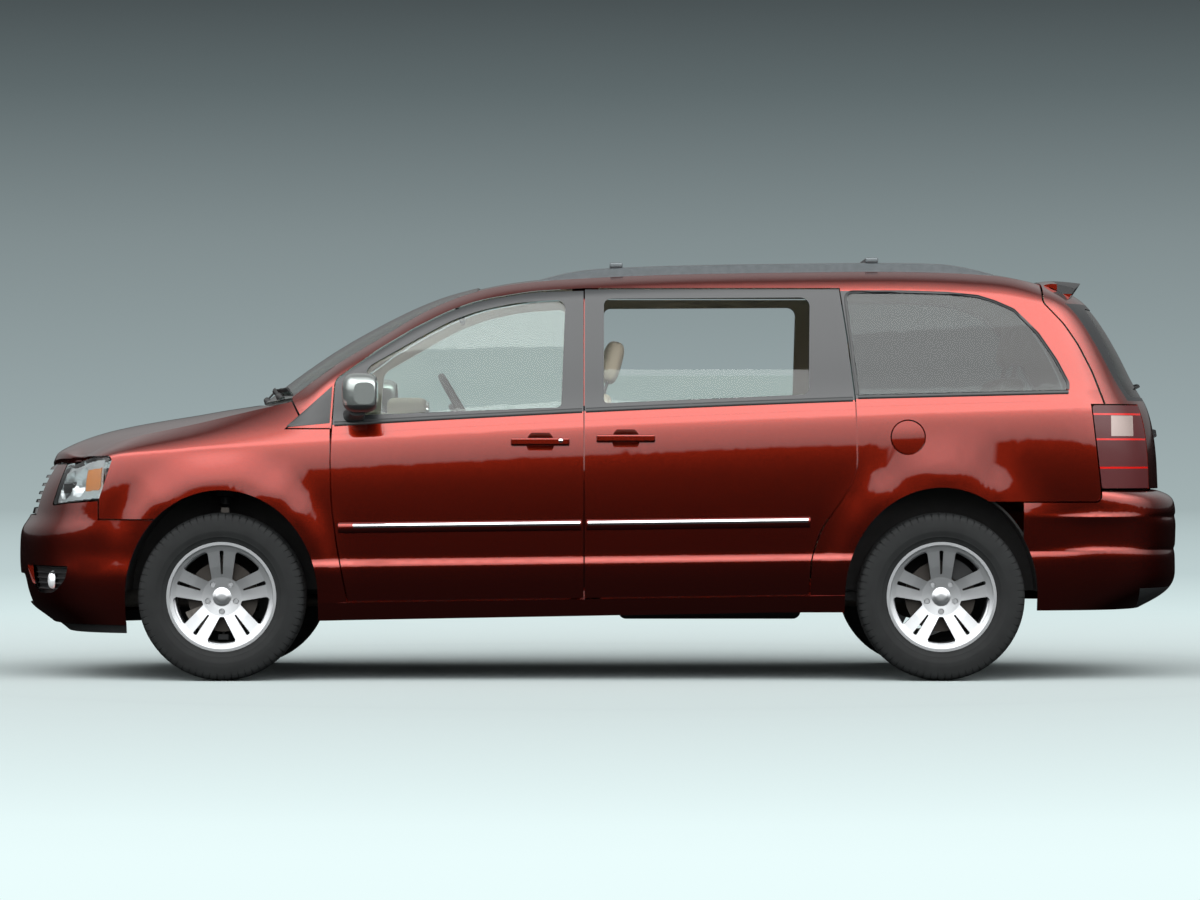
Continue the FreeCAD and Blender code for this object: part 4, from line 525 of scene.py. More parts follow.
# Which packed sub-parts get which material, by the start of their names
FINISH = {
    "paint": ("fender", "hood", "front_bumper", "fuel_door"),
    "side_paint": ("body_side",),
    "roof_paint": ("roof_panel",),
    "bumper_paint": ("rear_bumper",),
    "gate_paint": ("liftgate",),
    "door_paint": ("front_door_left", "front_door_right", "sliding_door"),
    "dark_plastic": ("air_dam",),
    "mirror": ("mirror",),
    "chrome": ("grille",),
    "clear_glass": ("windshield", "front_door_glass", "side_glass"),
    "tinted_glass": ("liftgate_glass",),
    "lens": ("headlamps",),
    "tail_lens": ("tail_lamps",),
    "rubber": ("tyre",),
    "alloy": ("rim",),
    "underseal": ("floor_pan", "front_frame"),
    "dark_steel": ("front_suspension", "rear_axle"),
    "cast_iron": ("knuckle", "engine"),
    "tank": ("fuel_tank",),
    "exhaust": ("exhaust",),
    "cloth": ("front_seats", "middle_seats", "rear_bench"),
    "cabin": ("dashboard",),
    "dark_cabin": ("steering_wheel",),
    "rail": ("roof_rails",),
}


QUARTER_GLASS_FROM = -1.0


class FinishFrame(bpy.types.Operator):
    """Gives every packed sub-part the material of the real one"""
    bl_idname = "minivan.finish_frame"
    bl_label = "Finish the packed sub-parts"

    def execute(self, context):
        make_materials(context.scene.minivan_colours)
        for name, prefixes in FINISH.items():
            for node, packed in NODES.items():
                if node.startswith(prefixes):
                    packed.data.materials.clear()
                    packed.data.materials.append(MATERIALS[name])
        panes = NODES["side_glass"].data
        panes.materials.append(MATERIALS["tinted_glass"])
        middles = np.empty(len(panes.polygons) * 3)
        panes.polygons.foreach_get("center", middles)
        panes.polygons.foreach_set("material_index", (middles[::3] < QUARTER_GLASS_FROM).astype(np.int32))
        return {"FINISHED"}


# Tyres

TREAD_PITCHES = 70
PITCH_SHARES = np.array([0.0, 0.04, 0.14, 0.18, 0.5, 0.54, 0.62, 0.66])
GROOVES_MM = ((-57, 9), (-20, 9), (20, 9), (57, 9))
SIPE_DEPTH = 0.005
HALF_TREAD = 0.084
CROWN_DROP = 0.0035


def tyre_part(centre, radius, half_width, bead_radius, groove_depth):
    """Tyre as a section turned about the axle. On the tread the radius drops by a full groove where the
    place across lies in a groove, and by a sipe where the angle and the place across lie in a sipe."""
    cuts = np.array([a + side * (w / 2 - inset) for a, w in GROOVES_MM for side, inset in
                     ((-1, 0), (-1, 1.2), (1, 1.2), (1, 0))])
    across = np.sort(np.concatenate([cuts, np.linspace(-84, 84, 15), [-70, -66, 66, 70]])) * MM
    crown = radius - CROWN_DROP * (across / HALF_TREAD) ** 2
    widest = 0.113
    shoulder = curve_through([(HALF_TREAD, radius - CROWN_DROP), (0.097, radius - 0.008),
                              (0.106, radius - 0.020), (0.1105, radius - 0.040), (widest, radius - 0.062),
                              (0.1125, radius - 0.078), (0.1075, radius - 0.098), (0.1000, radius - 0.114),
                              (0.0950, bead_radius + 0.010), (0.0905, bead_radius)], 4)
    shoulder[:, 0] *= half_width / widest
    ribs = 0.0012 * (np.sin(np.linspace(0, 15 * np.pi, len(shoulder))) > 0.75)
    shoulder[4:-4, 0] += ribs[4:-4] * np.where(shoulder[4:-4, 1] < radius - 0.05, 1, 0)
    shoulder[:, 0] = np.minimum(shoulder[:, 0], half_width)
    inner = curve_through([(0.074, bead_radius), (0.078, bead_radius + 0.014), (0.100, radius - 0.075),
                           (0.094, radius - 0.03), (0.06, radius - 0.016), (0.0, radius - 0.014)], 3)
    left = np.concatenate([shoulder[1:], inner])
    right = left[::-1] * (-1, 1)
    section = np.concatenate([np.stack([across, crown], 1), left, right[1:]])
    tread = len(across)
    angle = (2 * np.pi / TREAD_PITCHES * (np.arange(TREAD_PITCHES)[:, None] + PITCH_SHARES)).ravel()
    in_edge_sipe = np.tile((PITCH_SHARES > 0.02) & (PITCH_SHARES < 0.16), TREAD_PITCHES)
    in_rib_sipe = np.tile((PITCH_SHARES > 0.52) & (PITCH_SHARES < 0.64), TREAD_PITCHES)
    reach = np.repeat(section[None, :, 1], len(angle), 0)
    aside = np.repeat(section[None, :, 0], len(angle), 0)
    depth = np.zeros_like(reach)
    for middle, wide in GROOVES_MM:
        depth[:, :tread] += (np.abs(across - middle * MM) < (wide / 2 - 0.6) * MM) * groove_depth
    off_middle, height = np.abs(section[:, 0]), section[:, 1]
    edge = (off_middle > 0.0655) & (height > radius - 0.03)
    rib = (off_middle > 0.026) & (off_middle < 0.051) & (height > radius - 0.012)
    depth = np.maximum(depth, np.outer(in_edge_sipe, edge) * SIPE_DEPTH)
    depth = np.maximum(depth, np.outer(in_rib_sipe, rib) * SIPE_DEPTH * 0.7)
    corner = np.arange(len(section))
    outside = (corner < tread + len(shoulder)) | (corner >= len(section) - len(shoulder))
    reach -= depth * outside
    grid = np.stack([reach * np.cos(angle)[:, None], aside, reach * np.sin(angle)[:, None]], -1) + centre
    return closed_grid(grid, close_rows=True)


class BuildTyres(bpy.types.Operator):
    """Four radial tyres with grooved treads and ringed side walls"""
    bl_idname = "minivan.build_tyres"
    bl_label = "Tyres"

    def execute(self, context):
        for place in WHEEL:
            node = "tyre_" + place
            low, high = (np.array(c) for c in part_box(node))
            _, half_width, radius = (high - low) / 2
            part = tyre_part((low + high) / 2, radius, half_width, radius - 0.134,
                             context.scene.minivan_sizes.groove_depth)
            piece("tread_" + place, [part], "rubber", BODY_OF[node], replaces=(node,), slot="tyre_rubber",
                  sharp=30)
        return {"FINISHED"}


# Seats

def pad_part(origin, normal, across, along, size, shape, rows=56, columns=96, power=4.2, end_power=5.0):
    """Upholstered pad. The section at share t of its length is a squared-up oval that closes to a point at
    both ends. shape(s, t) is added to the front's height, s being -1 to 1 across and t 0 to 1 along."""
    normal, across, along = (unit(np.asarray(v, float)) for v in (normal, across, along))
    thick, wide, long = size
    turn = np.linspace(-np.pi / 2, np.pi / 2, rows)[1:-1, None]
    t = (1 + np.sin(turn)) / 2
    close = (1 - np.abs(2 * t - 1) ** end_power) ** (1 / end_power)
    angle = np.linspace(0, 2 * np.pi, columns, endpoint=False)[None, :]
    c, s = np.cos(angle), np.sin(angle)
    n = np.sign(c) * np.abs(c) ** (2 / power) * thick / 2 * close
    b = np.sign(s) * np.abs(s) ** (2 / power) * (1 - 0.5 * (1 - close))
    front = np.clip(n / (thick / 2) * 1.6, 0, 1)
    n = n + front * shape(b, t + 0 * b)
    grid = (np.asarray(origin, float) + n[..., None] * normal + (b * wide / 2)[..., None] * across
            + ((t - 0.5) * long + 0 * b)[..., None] * along)
    return closed_grid(grid)


def dent(value, middle, wide):
    """Bell curve: 1 at the middle and about a third at the given distance from it."""
    return np.exp(-((value - middle) / wide) ** 2)


def seam_shape(bolster, panels, seams_across=(0.3, 0.72)):
    """Front of a car seat: bolsters rise towards the sides, sewn channels run along and across."""
    def shape(s, t):
        height = bolster * np.clip((np.abs(s) - 0.5) / 0.4, 0, 1) ** 1.5 - 0.010 * (1 - s ** 2)
        for place in panels:
            height = height - 0.007 * (dent(s, place, 0.022) + dent(s, -place, 0.022))
        inside = np.abs(s) < max(panels)
        for place in seams_across:
            height = height - 0.006 * dent(t, place, 0.012) * inside
        return height + 0.012 * np.sin(np.pi * t)
    return shape


def seat_back(back_x, y, floor_z, lean_deg):
    """Hinge of a seat's back, and the directions up the back and out of its front."""
    lean = math.radians(lean_deg)
    back_up = np.array((-math.sin(lean), 0, math.cos(lean)))
    back_out = np.array((math.cos(lean), 0, math.sin(lean)))
    return np.array((back_x + 0.06, y, floor_z + 0.24)), back_up, back_out


def seat_parts(back_x, y, width, floor_z, lean_deg, back_height):
    """Cushion, back and head restraint of one seat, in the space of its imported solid."""
    hinge, back_up, back_out = seat_back(back_x, y, floor_z, lean_deg)
    cushion = pad_part((back_x + 0.31, y, floor_z + 0.228), (-0.105, 0, 0.995), LEFT, (0.995, 0, 0.105),
                       (0.125, width - 0.006, 0.515), seam_shape(0.026, (0.62,), (0.34, 0.78)))
    middle = hinge + back_up * (back_height / 2 - 0.04) + back_out * 0.002
    back = pad_part(middle, back_out, LEFT, back_up, (0.108, width - 0.024, back_height - 0.006),
                    seam_shape(0.024, (0.6,), (0.28, 0.74)))
    rest = pad_part(hinge + back_up * (back_height + 0.1025) + back_out * 0.003, back_out, LEFT, back_up,
                    (0.084, 0.235, 0.178), lambda s, t: 0.006 * (1 - s ** 2) - 0.004 * dent(t, 0.5, 0.03),
                    rows=36, columns=56, power=3.2, end_power=3.0)
    return [cushion, back, rest]


def seat_hard_parts(back_x, y, width, floor_z, lean_deg, back_height):
    """Plinth and the two posts of the head restraint."""
    hinge, back_up, _ = seat_back(back_x, y, floor_z, lean_deg)
    parts = []
    for aside in (-0.06, 0.06):
        low = hinge + back_up * (back_height - 0.08) + (0, aside, 0)
        post = [low, low + back_up * 0.05, low + back_up * 0.13]
        parts.append(swept(post, LEFT, rounded(0.012, 0.012, 2, 10)))
    plinth = [(back_x + 0.285, y, floor_z + z) for z in (0.002, 0.03, 0.09, 0.15, 0.165)]
    parts.append(swept(plinth, LEFT, rounded(0.37, width - 0.125, 8, 40), scale=(1, 1, 0.94, 0.97, 0.97)))
    return parts


# Rows of seats: sub-part, foot of the backs in X, middle of each seat in Y, width, back height and lean
SEAT_ROWS = (("front_seats", DOOR_SEAM + 0.02, 0.37, 0.50, 0.64, 16),
             ("middle_seats", DOOR_SEAM - 0.98, 0.37, 0.50, 0.64, 16),
             ("rear_bench", REAR_AXLE - 0.3, 0.3, 0.56, 0.52, 14))


class BuildSeats(bpy.types.Operator):
    """Front and middle seats and the rear bench, upholstered with sewn channels"""
    bl_idname = "minivan.build_seats"
    bl_label = "Seats"

    def execute(self, context):
        for node, back_x, aside, width, back_height, lean in SEAT_ROWS:
            floor_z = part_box("rear_bench" if node == "rear_bench" else "front_seats")[0].z
            seats = [(back_x, y, width, floor_z, lean, back_height) for y in (aside, -aside)]
            soft = [part for seat in seats for part in seat_parts(*seat)]
            hard = [part for seat in seats for part in seat_hard_parts(*seat)]
            covers = piece(node + "_covers", soft, "cloth", BODY_OF[node], replaces=(node,),
                           slot="seat_cloth")
            piece(node + "_base", hard, "dark_cabin", BODY_OF[node], slot="cabin_plastic")
        return {"FINISHED"}


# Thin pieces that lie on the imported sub-parts

def target_of(*names):
    """Ray target made of the triangles of packed sub-parts."""
    points, faces, start = [], [], 0
    for name in names:
        mesh = NODES[name].data
        co = np.empty(len(mesh.vertices) * 3)
        mesh.vertices.foreach_get("co", co)
        points += co.reshape(-1, 3).tolist()
        faces += [[start + k for k in p.vertices] for p in mesh.polygons]
        start += len(mesh.vertices)
    return BVHTree.FromPolygons(points, faces)


def cast(target, starts, way, gaps=False):
    """Where parallel rays meet the target, and the way it faces there, against the rays. A ray that passes
    through a seam gives NaN where gaps are allowed."""
    starts, way = np.asarray(starts, float), unit(np.asarray(way, float))
    hits = [target.ray_cast(Vector(s), Vector(way))[:2] for s in starts.reshape(-1, 3)]
    missed = [tuple(np.round(s, 3)) for s, h in zip(starts.reshape(-1, 3), hits) if h[0] is None]
    if missed and not gaps:
        raise RuntimeError(f"{len(missed)} rays along {tuple(way)} meet nothing, the first from {missed[0]}")
    hits = [h if h[0] is not None else ((np.nan,) * 3, (np.nan,) * 3) for h in hits]
    points, normals = (np.array([h[k] for h in hits]) for k in (0, 1))
    normals = normals * np.where(normals @ way > 0, -1, 1)[:, None]
    return points.reshape(starts.shape), normals.reshape(starts.shape)


def spaced(line, count):
    """Places at equal steps along a line of corners."""
    line = np.asarray(line, float)
    length = np.concatenate([[0], np.cumsum(np.linalg.norm(np.diff(line, axis=0), axis=1))])
    share = np.linspace(0, length[-1], count)
    return np.stack([np.interp(share, length, line[:, k]) for k in range(line.shape[1])], 1)


def sheet_on(target, low, high, columns, rows, axis, way, start):
    """Grid of places on the target between two lines of corners, which leave out the axis of the rays, and
    the ways it faces there. Along each row the depth is evened out over neighbours."""
    low, high = spaced(low, columns), spaced(high, columns)
    share = np.linspace(0, 1, rows)[:, None, None]
    starts = np.insert(low + (high - low) * share, axis, start, axis=2)
    points, normals = cast(target, starts, way * np.eye(3)[axis], gaps=True)
    columns = np.arange(columns)
    for row in range(rows):
        met = ~np.isnan(points[row, :, 0])
        if met.sum() < 0.6 * len(columns):
            raise RuntimeError(f"most rays from {starts[row, 0]} to {starts[row, -1]} meet nothing")
        starts[row, :, axis] = np.interp(columns, columns[met], points[row, met, axis])
        for k in range(3):
            normals[row, :, k] = np.interp(columns, columns[met], normals[row, met, k])
    points, normals = starts, unit(normals)
    depth = points[..., axis]
    depth[:, 1:-1] = (depth[:, :-2] + 2 * depth[:, 1:-1] + depth[:, 2:]) / 4
    return points, normals


def plate(points, normals, thick, sunk=0.001):
    """Thin plate: its face is the grid raised by thick, less at the long edges, and its back is sunk in."""
    share = np.linspace(0, 1, len(points))
    rise = thick * np.clip(0.3 + 6 * np.minimum(share, 1 - share), 0, 1)
    grid = np.concatenate([points + normals * rise[:, None, None], (points - normals * sunk)[::-1]])
    return closed_grid(grid.transpose(1, 0, 2))


def strip_on(target, line, wide, thick, count):
    """Strip of plate along a line of corners, as wide as given across the line."""
    path = spaced(line, count)
    along = unit(np.gradient(path, axis=0))
    aside = np.stack([-along[:, 1], along[:, 0]], 1) * wide / 2
    return plate(*sheet_on(target, path - aside, path + aside, count, 5, **FROM_LEFT), thick)


def dome(centre, axis, radius, height, sunk=0.002, count=40):
    """Low round cap on a surface."""
    least = 0.0004
    face = [(height * (1 - t ** 4), max(radius * t, least)) for t in np.linspace(0, 1, 9)]
    return spun_about([(-sunk, least), *face, (-sunk, radius)], centre, axis, count)


def belt_z(x):
    """Height of the belt line: a parabola of the distance behind the door seam."""
    back = DOOR_SEAM - x
    return BELT_HEIGHT + (BELT_RISE + BELT_CURVE * back) * back


# The bodies that the left and the right of a pair ride on
DOORS = ("front_door_left_assembly", "front_door_right_assembly")
BODY = ("body", "body")


class BuildSideTrim(bpy.types.Operator):
    """Belt strips, sail triangles, quarter glass surrounds, bright strips and lock"""
    bl_idname = "minivan.build_side_trim"
    bl_label = "Side trim"

    def execute(self, context):
        front, slider = target_of("front_door_left"), target_of("sliding_door_left")
        side = target_of("body_side_left", "side_glass", "fender_left")

        def belt(x_from, x_to):
            return [(x, belt_z(x) + 0.004) for x in np.linspace(x_from, x_to, 12)]

        def bright(target, x_from, x_to):
            line = [(x, 0.676 + 0.0122 * (DOOR_SEAM - x)) for x in (x_from, x_to)]
            return strip_on(target, line, context.scene.minivan_sizes.strip_width, 0.003, 50)

        both_sides("belt_strip_front", [strip_on(front, belt(0.073, 1.132), 0.02, 0.005, 60)], "black", DOORS)
        both_sides("belt_strip_slider", [strip_on(slider, belt(-1.084, 0.057), 0.02, 0.005, 60)], "black",
                   BODY)
        quarter = strip_on(side, [(-1.107, 1.2145), (-2.008, 1.2365)], 0.018, 0.005, 60)
        both_sides("belt_strip_quarter", [quarter], "black", BODY)
        lines = [(1.334, 1.086), (1.152, 1.103)], [(1.334, 1.092), (1.143, 1.262)]
        sail = plate(*sheet_on(side, *lines, 16, 9, **FROM_LEFT), 0.003)
        both_sides("sail_trim", [sail], "black", BODY)
        edge = [(-1.106, 1.226), (-1.0857, 1.40), (-1.060, 1.62), (-1.0585, 1.652), (-1.082, 1.667),
                (-1.30, 1.667), (-1.50, 1.661), (-1.6265, 1.648), (-1.70, 1.625), (-1.7795, 1.590),
                (-1.8815, 1.487), (-1.9575, 1.373), (-2.008, 1.275), (-2.006, 1.248)]
        both_sides("quarter_surround", [strip_on(side, edge, 0.014, 0.004, 150)], "black", BODY)
        both_sides("bright_strip_front", [bright(front, 0.081, 1.050)], "chrome", DOORS)
        both_sides("bright_strip_slider", [bright(slider, -0.892, 0.048)], "chrome", BODY)
        (lock,), (out,) = cast(front, [(0.1636, 1.5, 1.027)], -LEFT)
        piece("door_lock", [dome(lock, out, 0.0095, 0.003)], "chrome", DOORS[0])
        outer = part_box("mirror_left")[1].y
        corners = [[(outer - 0.158, z), (outer - 0.046, z)] for z in (1.190, 1.280)]
        glass = plate(*sheet_on(target_of("mirror_left"), *corners, 12, 9, **FROM_MIRROR_BACK), 0.003)
        both_sides("glass_of_mirror", [glass], "mirror_glass", DOORS)
        return {"FINISHED"}


def lens_sheet(target, centre, degrees, rows, heights):
    """Grid of places on a lamp's lens: for every direction round the upright line at centre, rows from the
    lowest to the highest place where a ray towards that line meets the lens, between the two heights."""
    columns = []
    for angle in np.radians(degrees):
        way = -np.array((math.cos(angle), math.sin(angle), 0))
        start = np.array((*centre, 0)) - way * 1.2
        met = [z for z in np.linspace(*heights, 80)
               if target.ray_cast(Vector(start + (0, 0, z)), Vector(way), 1.15)[0]]
        if len(met) > 8:
            levels = np.linspace(met[0] + 0.005, met[-1] - 0.005, rows)
            columns.append(cast(target, [start + (0, 0, z) for z in levels], way))
    return np.stack([c[0] for c in columns], 1), np.stack([c[1] for c in columns], 1)


def headlamp_parts(lens):
    """Reflector, projectors and amber lens of the left headlamp. The reflector is the lens set back, with a
    round bowl behind each projector. Share is the place up the lens, turn the place round it."""
    rows, bowl_turns = 40, (0.2, 0.52)
    points, normals = lens_sheet(lens, (1.98, 0.52), np.linspace(19, 66, 48), rows, (0.70, 1.0))
    count = points.shape[1]
    share = np.linspace(0, 1, rows)[:, None]
    turn = np.linspace(0, 1, count)[None, :]
    depth = np.full((rows, count), 0.02)
    for middle, wide in zip(bowl_turns, (0.17, 0.15)):
        bowl = 1 - ((turn - middle) / wide) ** 2 - ((share - 0.5) / 0.42) ** 2
        depth = depth + 0.05 * np.sqrt(np.clip(bowl, 0, 1))
    reflector = plate(points - normals * depth[..., None], normals, 0.001, 0.002)
    projectors = []
    for column in (round(middle * count) for middle in bowl_turns):
        out = normals[rows // 2, column]
        projectors.append(dome(points[rows // 2, column] - out * 0.064, out, 0.024, 0.03))
    part = (slice(8, 31), slice(round(0.69 * count), count - 1))
    flutes = 0.002 * np.abs(np.sin(np.linspace(0, 12 * np.pi, points[part].shape[1])))
    seat = points[part] - normals[part] * (0.014 + flutes[None, :, None])
    return reflector, projectors, plate(seat, normals[part], 0.001, 0.003)


def fog_parts(bumper):
    """Ribbed pocket and lamp in the left fog opening, spanned between the skin below and above it."""
    angles = np.radians(np.linspace(7, 50, 40))
    edges = []
    for z in (0.352, 0.505):
        rows = [cast(bumper, [(1.9 + 1.2 * math.cos(a), 0.4 + 1.2 * math.sin(a), z)],
                     (-math.cos(a), -math.sin(a), 0)) for a in angles]
        edges.append(np.array([(met[0], facing[0]) for met, facing in rows]))

    def skin(share):
        both = edges[0] + (edges[1] - edges[0]) * share
        return both[:, 0], unit(both[:, 1])

    levels = [skin(t) for t in np.linspace(0, 1, 8)]
    backs = np.stack([at - out * 0.034 for at, out in levels])
    pocket = [plate(backs, np.stack([out for at, out in levels]), 0.001, 0.002)]
    for share in (0.2, 0.36, 0.52, 0.68, 0.84):
        at, out = (row[3:-3] for row in skin(share))
        pocket.append(swept(at - out * 0.026, out, rounded(0.006, 0.018, 3, 10)))
    at, out = (row[17] for row in skin(0.45))
    return pocket, dome(at - out * 0.030, (1, 0.25, 0), 0.042, 0.022)


class BuildLamps(bpy.types.Operator):
    """Reflectors, projectors and amber lenses of the headlamps, and the fog lamps in their ribbed pockets"""
    bl_idname = "minivan.build_lamps"
    bl_label = "Lamps"

    def execute(self, context):
        reflector, projectors, amber = headlamp_parts(target_of("headlamps"))
        both_sides("headlamp_reflector", [reflector], "reflector", BODY, sharp=60)
        both_sides("headlamp_projector", projectors, "lens", BODY)
        both_sides("headlamp_amber", [amber], "amber_lens", BODY, sharp=60)
        pocket, fog_lamp = fog_parts(target_of("front_bumper"))
        both_sides("fog_pocket", pocket, "dark_plastic", BODY)
        both_sides("fog_lamp", [fog_lamp], "reflector", BODY)
        return {"FINISHED"}


def mesh_parts(target, half, low, high, top, across, uprights, inset):
    """Mesh in an opening of the nose: bars, uprights and, behind them, a dark sheet of painted shade that
    stands for the shade inside the opening, spanned between the skin under the opening and the skin above it,
    and carried on to the share top of that span."""
    y = np.linspace(-half, half, 2 * uprights + 1)
    ends = [cast(target, np.stack([0 * y + 3, y, 0 * y + z], 1), -AHEAD)[0] for z in (low, high)]

    def at(share, back):
        return ends[0] + (ends[1] - ends[0]) * share - (back, 0, 0)

    # The dark sheet behind the bars is painted shade: it stands for the shade inside the opening
    rows = np.stack([at(t, inset) for t in np.linspace(0, top, 6)])
    parts = [plate(rows, np.broadcast_to(AHEAD, rows.shape), 0.001, 0.002)]
    parts += [swept(at(t, inset - 0.010), AHEAD, rounded(0.006, 0.016, 3, 10)) for t in across]
    posts = np.stack([at(t, inset - 0.007) for t in (0.01, 0.5 * top, 0.99 * top)], 1)
    parts += [swept(post, AHEAD, rounded(0.004, 0.010, 3, 8)) for post in posts[1::2]]
    return parts


class BuildFront(bpy.types.Operator):
    """Meshes of the grille and the lower opening, each with a dark sheet of painted shade behind it, and
    wipers on the windshield
    """
    bl_idname = "minivan.build_front"
    bl_label = "Front trim"

    def execute(self, context):
        grille = mesh_parts(target_of("grille"), 0.408, 0.716, 0.878, 1.13, (0.22, 0.44, 0.66, 0.88), 24,
                            0.034)
        piece("grille_mesh_and_painted_shade", grille, "dark_plastic", "body")
        mouth = mesh_parts(target_of("front_bumper"), 0.395, 0.308, 0.458, 1.0, (0.2, 0.4, 0.6, 0.8), 16,
                           0.034)
        piece("mouth_mesh_and_painted_shade", mouth, "dark_plastic", "body")
        screen = target_of("windshield")

        def base_x(y):
            """Lowest edge of the windshield at y, found by going back over it from the hood."""
            met = (x for x in np.arange(1.5, 1.1, -0.004)
                   if screen.ray_cast(Vector((x, y, 2)), Vector((0, 0, -1)))[0])
            return next(met)

        parts = []
        for inner, outer in ((0.04, 0.62), (-0.62, -0.06)):
            y = np.linspace(inner, outer, 24)
            at, out = cast(screen, [(base_x(v) - 0.05, v, 2) for v in y], -UP)
            at[1:-1, 0] = (at[:-2, 0] + at[1:-1, 0] + at[2:, 0]) / 3
            parts.append(swept(at + out * 0.012, out, rounded(0.009, 0.022, 3, 10)))
            (low,), (face,) = cast(screen, [(base_x(outer) - 0.006, outer * 0.97, 2)], -UP)
            middle = at[12] + out[12] * 0.026
            parts.append(swept([low + face * 0.012, (low + middle) / 2 + face * 0.02, middle], face,
                               rounded(0.014, 0.008, 4, 12)))
            parts.append(dome(low + face * 0.004, face, 0.017, 0.022))
        piece("front_wipers", parts, "dark_plastic", "body")
        return {"FINISHED"}


class BuildRear(bpy.types.Operator):
    """Handle, blank plate in its frame, high stop lamp, rear wiper and tailpipe end"""
    bl_idname = "minivan.build_rear"
    bl_label = "Rear trim"

    def execute(self, context):
        gate, pane = target_of("liftgate"), target_of("liftgate_glass")
        body = "liftgate_assembly"

        def on_gate(half, low, high, thick):
            lines = [[(-half, z), (half, z)] for z in (low, high)]
            return plate(*sheet_on(gate, *lines, 40, 9, **FROM_BEHIND), thick)

        half_plate = context.scene.minivan_sizes.plate_width / 2
        piece("gate_handle", [on_gate(0.33, 1.042, 1.078, 0.014)], "chrome", body)
        piece("plate_frame", [on_gate(half_plate + 0.0175, 0.868, 1.032, 0.004)], "dark_plastic", body)
        piece("blank_plate", [on_gate(half_plate, 0.878, 1.022, 0.0065)], "plate", body)
        piece("high_stop_lamp", [on_gate(0.17, 1.682, 1.697, 0.004)], "red_lens", body)
        at, out = sheet_on(pane, [(0.03, 1.262), (0.44, 1.256)], [(0.03, 1.263), (0.44, 1.257)], 24, 2,
                           **FROM_BEHIND)
        (pivot,), (face,) = cast(pane, [(-3.0, 0.0, 1.262)], AHEAD)
        arm = [pivot + face * 0.016, (pivot + at[0, 10]) / 2 + face * 0.026, at[0, 12] + out[0, 12] * 0.022]
        wiper = [swept(at[0] + out[0] * 0.011, out[0], rounded(0.009, 0.02, 3, 10)),
                 swept(arm, face, rounded(0.014, 0.008, 4, 12)), dome(pivot, face, 0.024, 0.024)]
        piece("rear_wiper", wiper, "dark_plastic", body)
        tube = [(-0.05, 0.0275), (-0.05, 0.033), (0.045, 0.034), (0.05, 0.032), (0.045, 0.0275)]
        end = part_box("exhaust")[0].x
        piece("tailpipe_end", [spun_about(tube, (end + 0.045, 0.43, 0.40), -AHEAD, 40)], "chrome", "body")
        return {"FINISHED"}


def coil_spring(low, high, radius, turns):
    """Wire that goes round the line from low to high at the radius: at share t it has turned by t of all its
    turns and climbed t of the way."""
    share = np.linspace(0, 1, 200)[:, None]
    climb = np.subtract(high, low)
    axis = unit(climb)
    first = unit(np.cross(axis, (0, 1, 0.1)))
    angle = 2 * np.pi * turns * share
    ring = np.cos(angle) * first + np.sin(angle) * np.cross(axis, first)
    return swept(np.asarray(low) + climb * share + ring * radius, ring, rounded(0.013, 0.013, 2, 10))


class BuildWheelTrim(bpy.types.Operator):
    """Blank centre caps, valve stems and coil springs"""
    bl_idname = "minivan.build_wheel_trim"
    bl_label = "Wheel trim"

    def execute(self, context):
        for place in WHEEL:
            node = "rim_" + place
            side = 1 if place.endswith("left") else -1
            low, high = (np.array(c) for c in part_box(node))
            middle = (low + high) / 2
            (hub,), _ = cast(target_of(node), [(middle[0], 1.5 * side, middle[2])], -side * LEFT)
            cap = dome(hub, side * LEFT, 0.031, 0.008)
            valve = middle + (0.150, side * 0.052, 0.098)
            bends = [(0, 0, 0), (-0.008, side * 0.012, -0.006), (-0.018, side * 0.022, -0.012)]
            stem = swept([valve + bend for bend in bends], AHEAD, rounded(0.008, 0.008, 2, 10))
            piece("wheel_cap_" + place, [cap], "alloy", BODY_OF[node])
            piece("valve_" + place, [stem], "rubber", BODY_OF[node])
        front = coil_spring((FRONT_AXLE, 0.666, 0.79), (FRONT_AXLE, 0.641, 0.898), 0.062, 4)
        rear = coil_spring((REAR_AXLE + 0.04, 0.5, 0.36), (REAR_AXLE + 0.04, 0.5, 0.55), 0.05, 5)
        both_sides("front_spring", [front], "dark_steel", BODY)
        both_sides("rear_spring", [rear], "dark_steel", BODY)
        return {"FINISHED"}


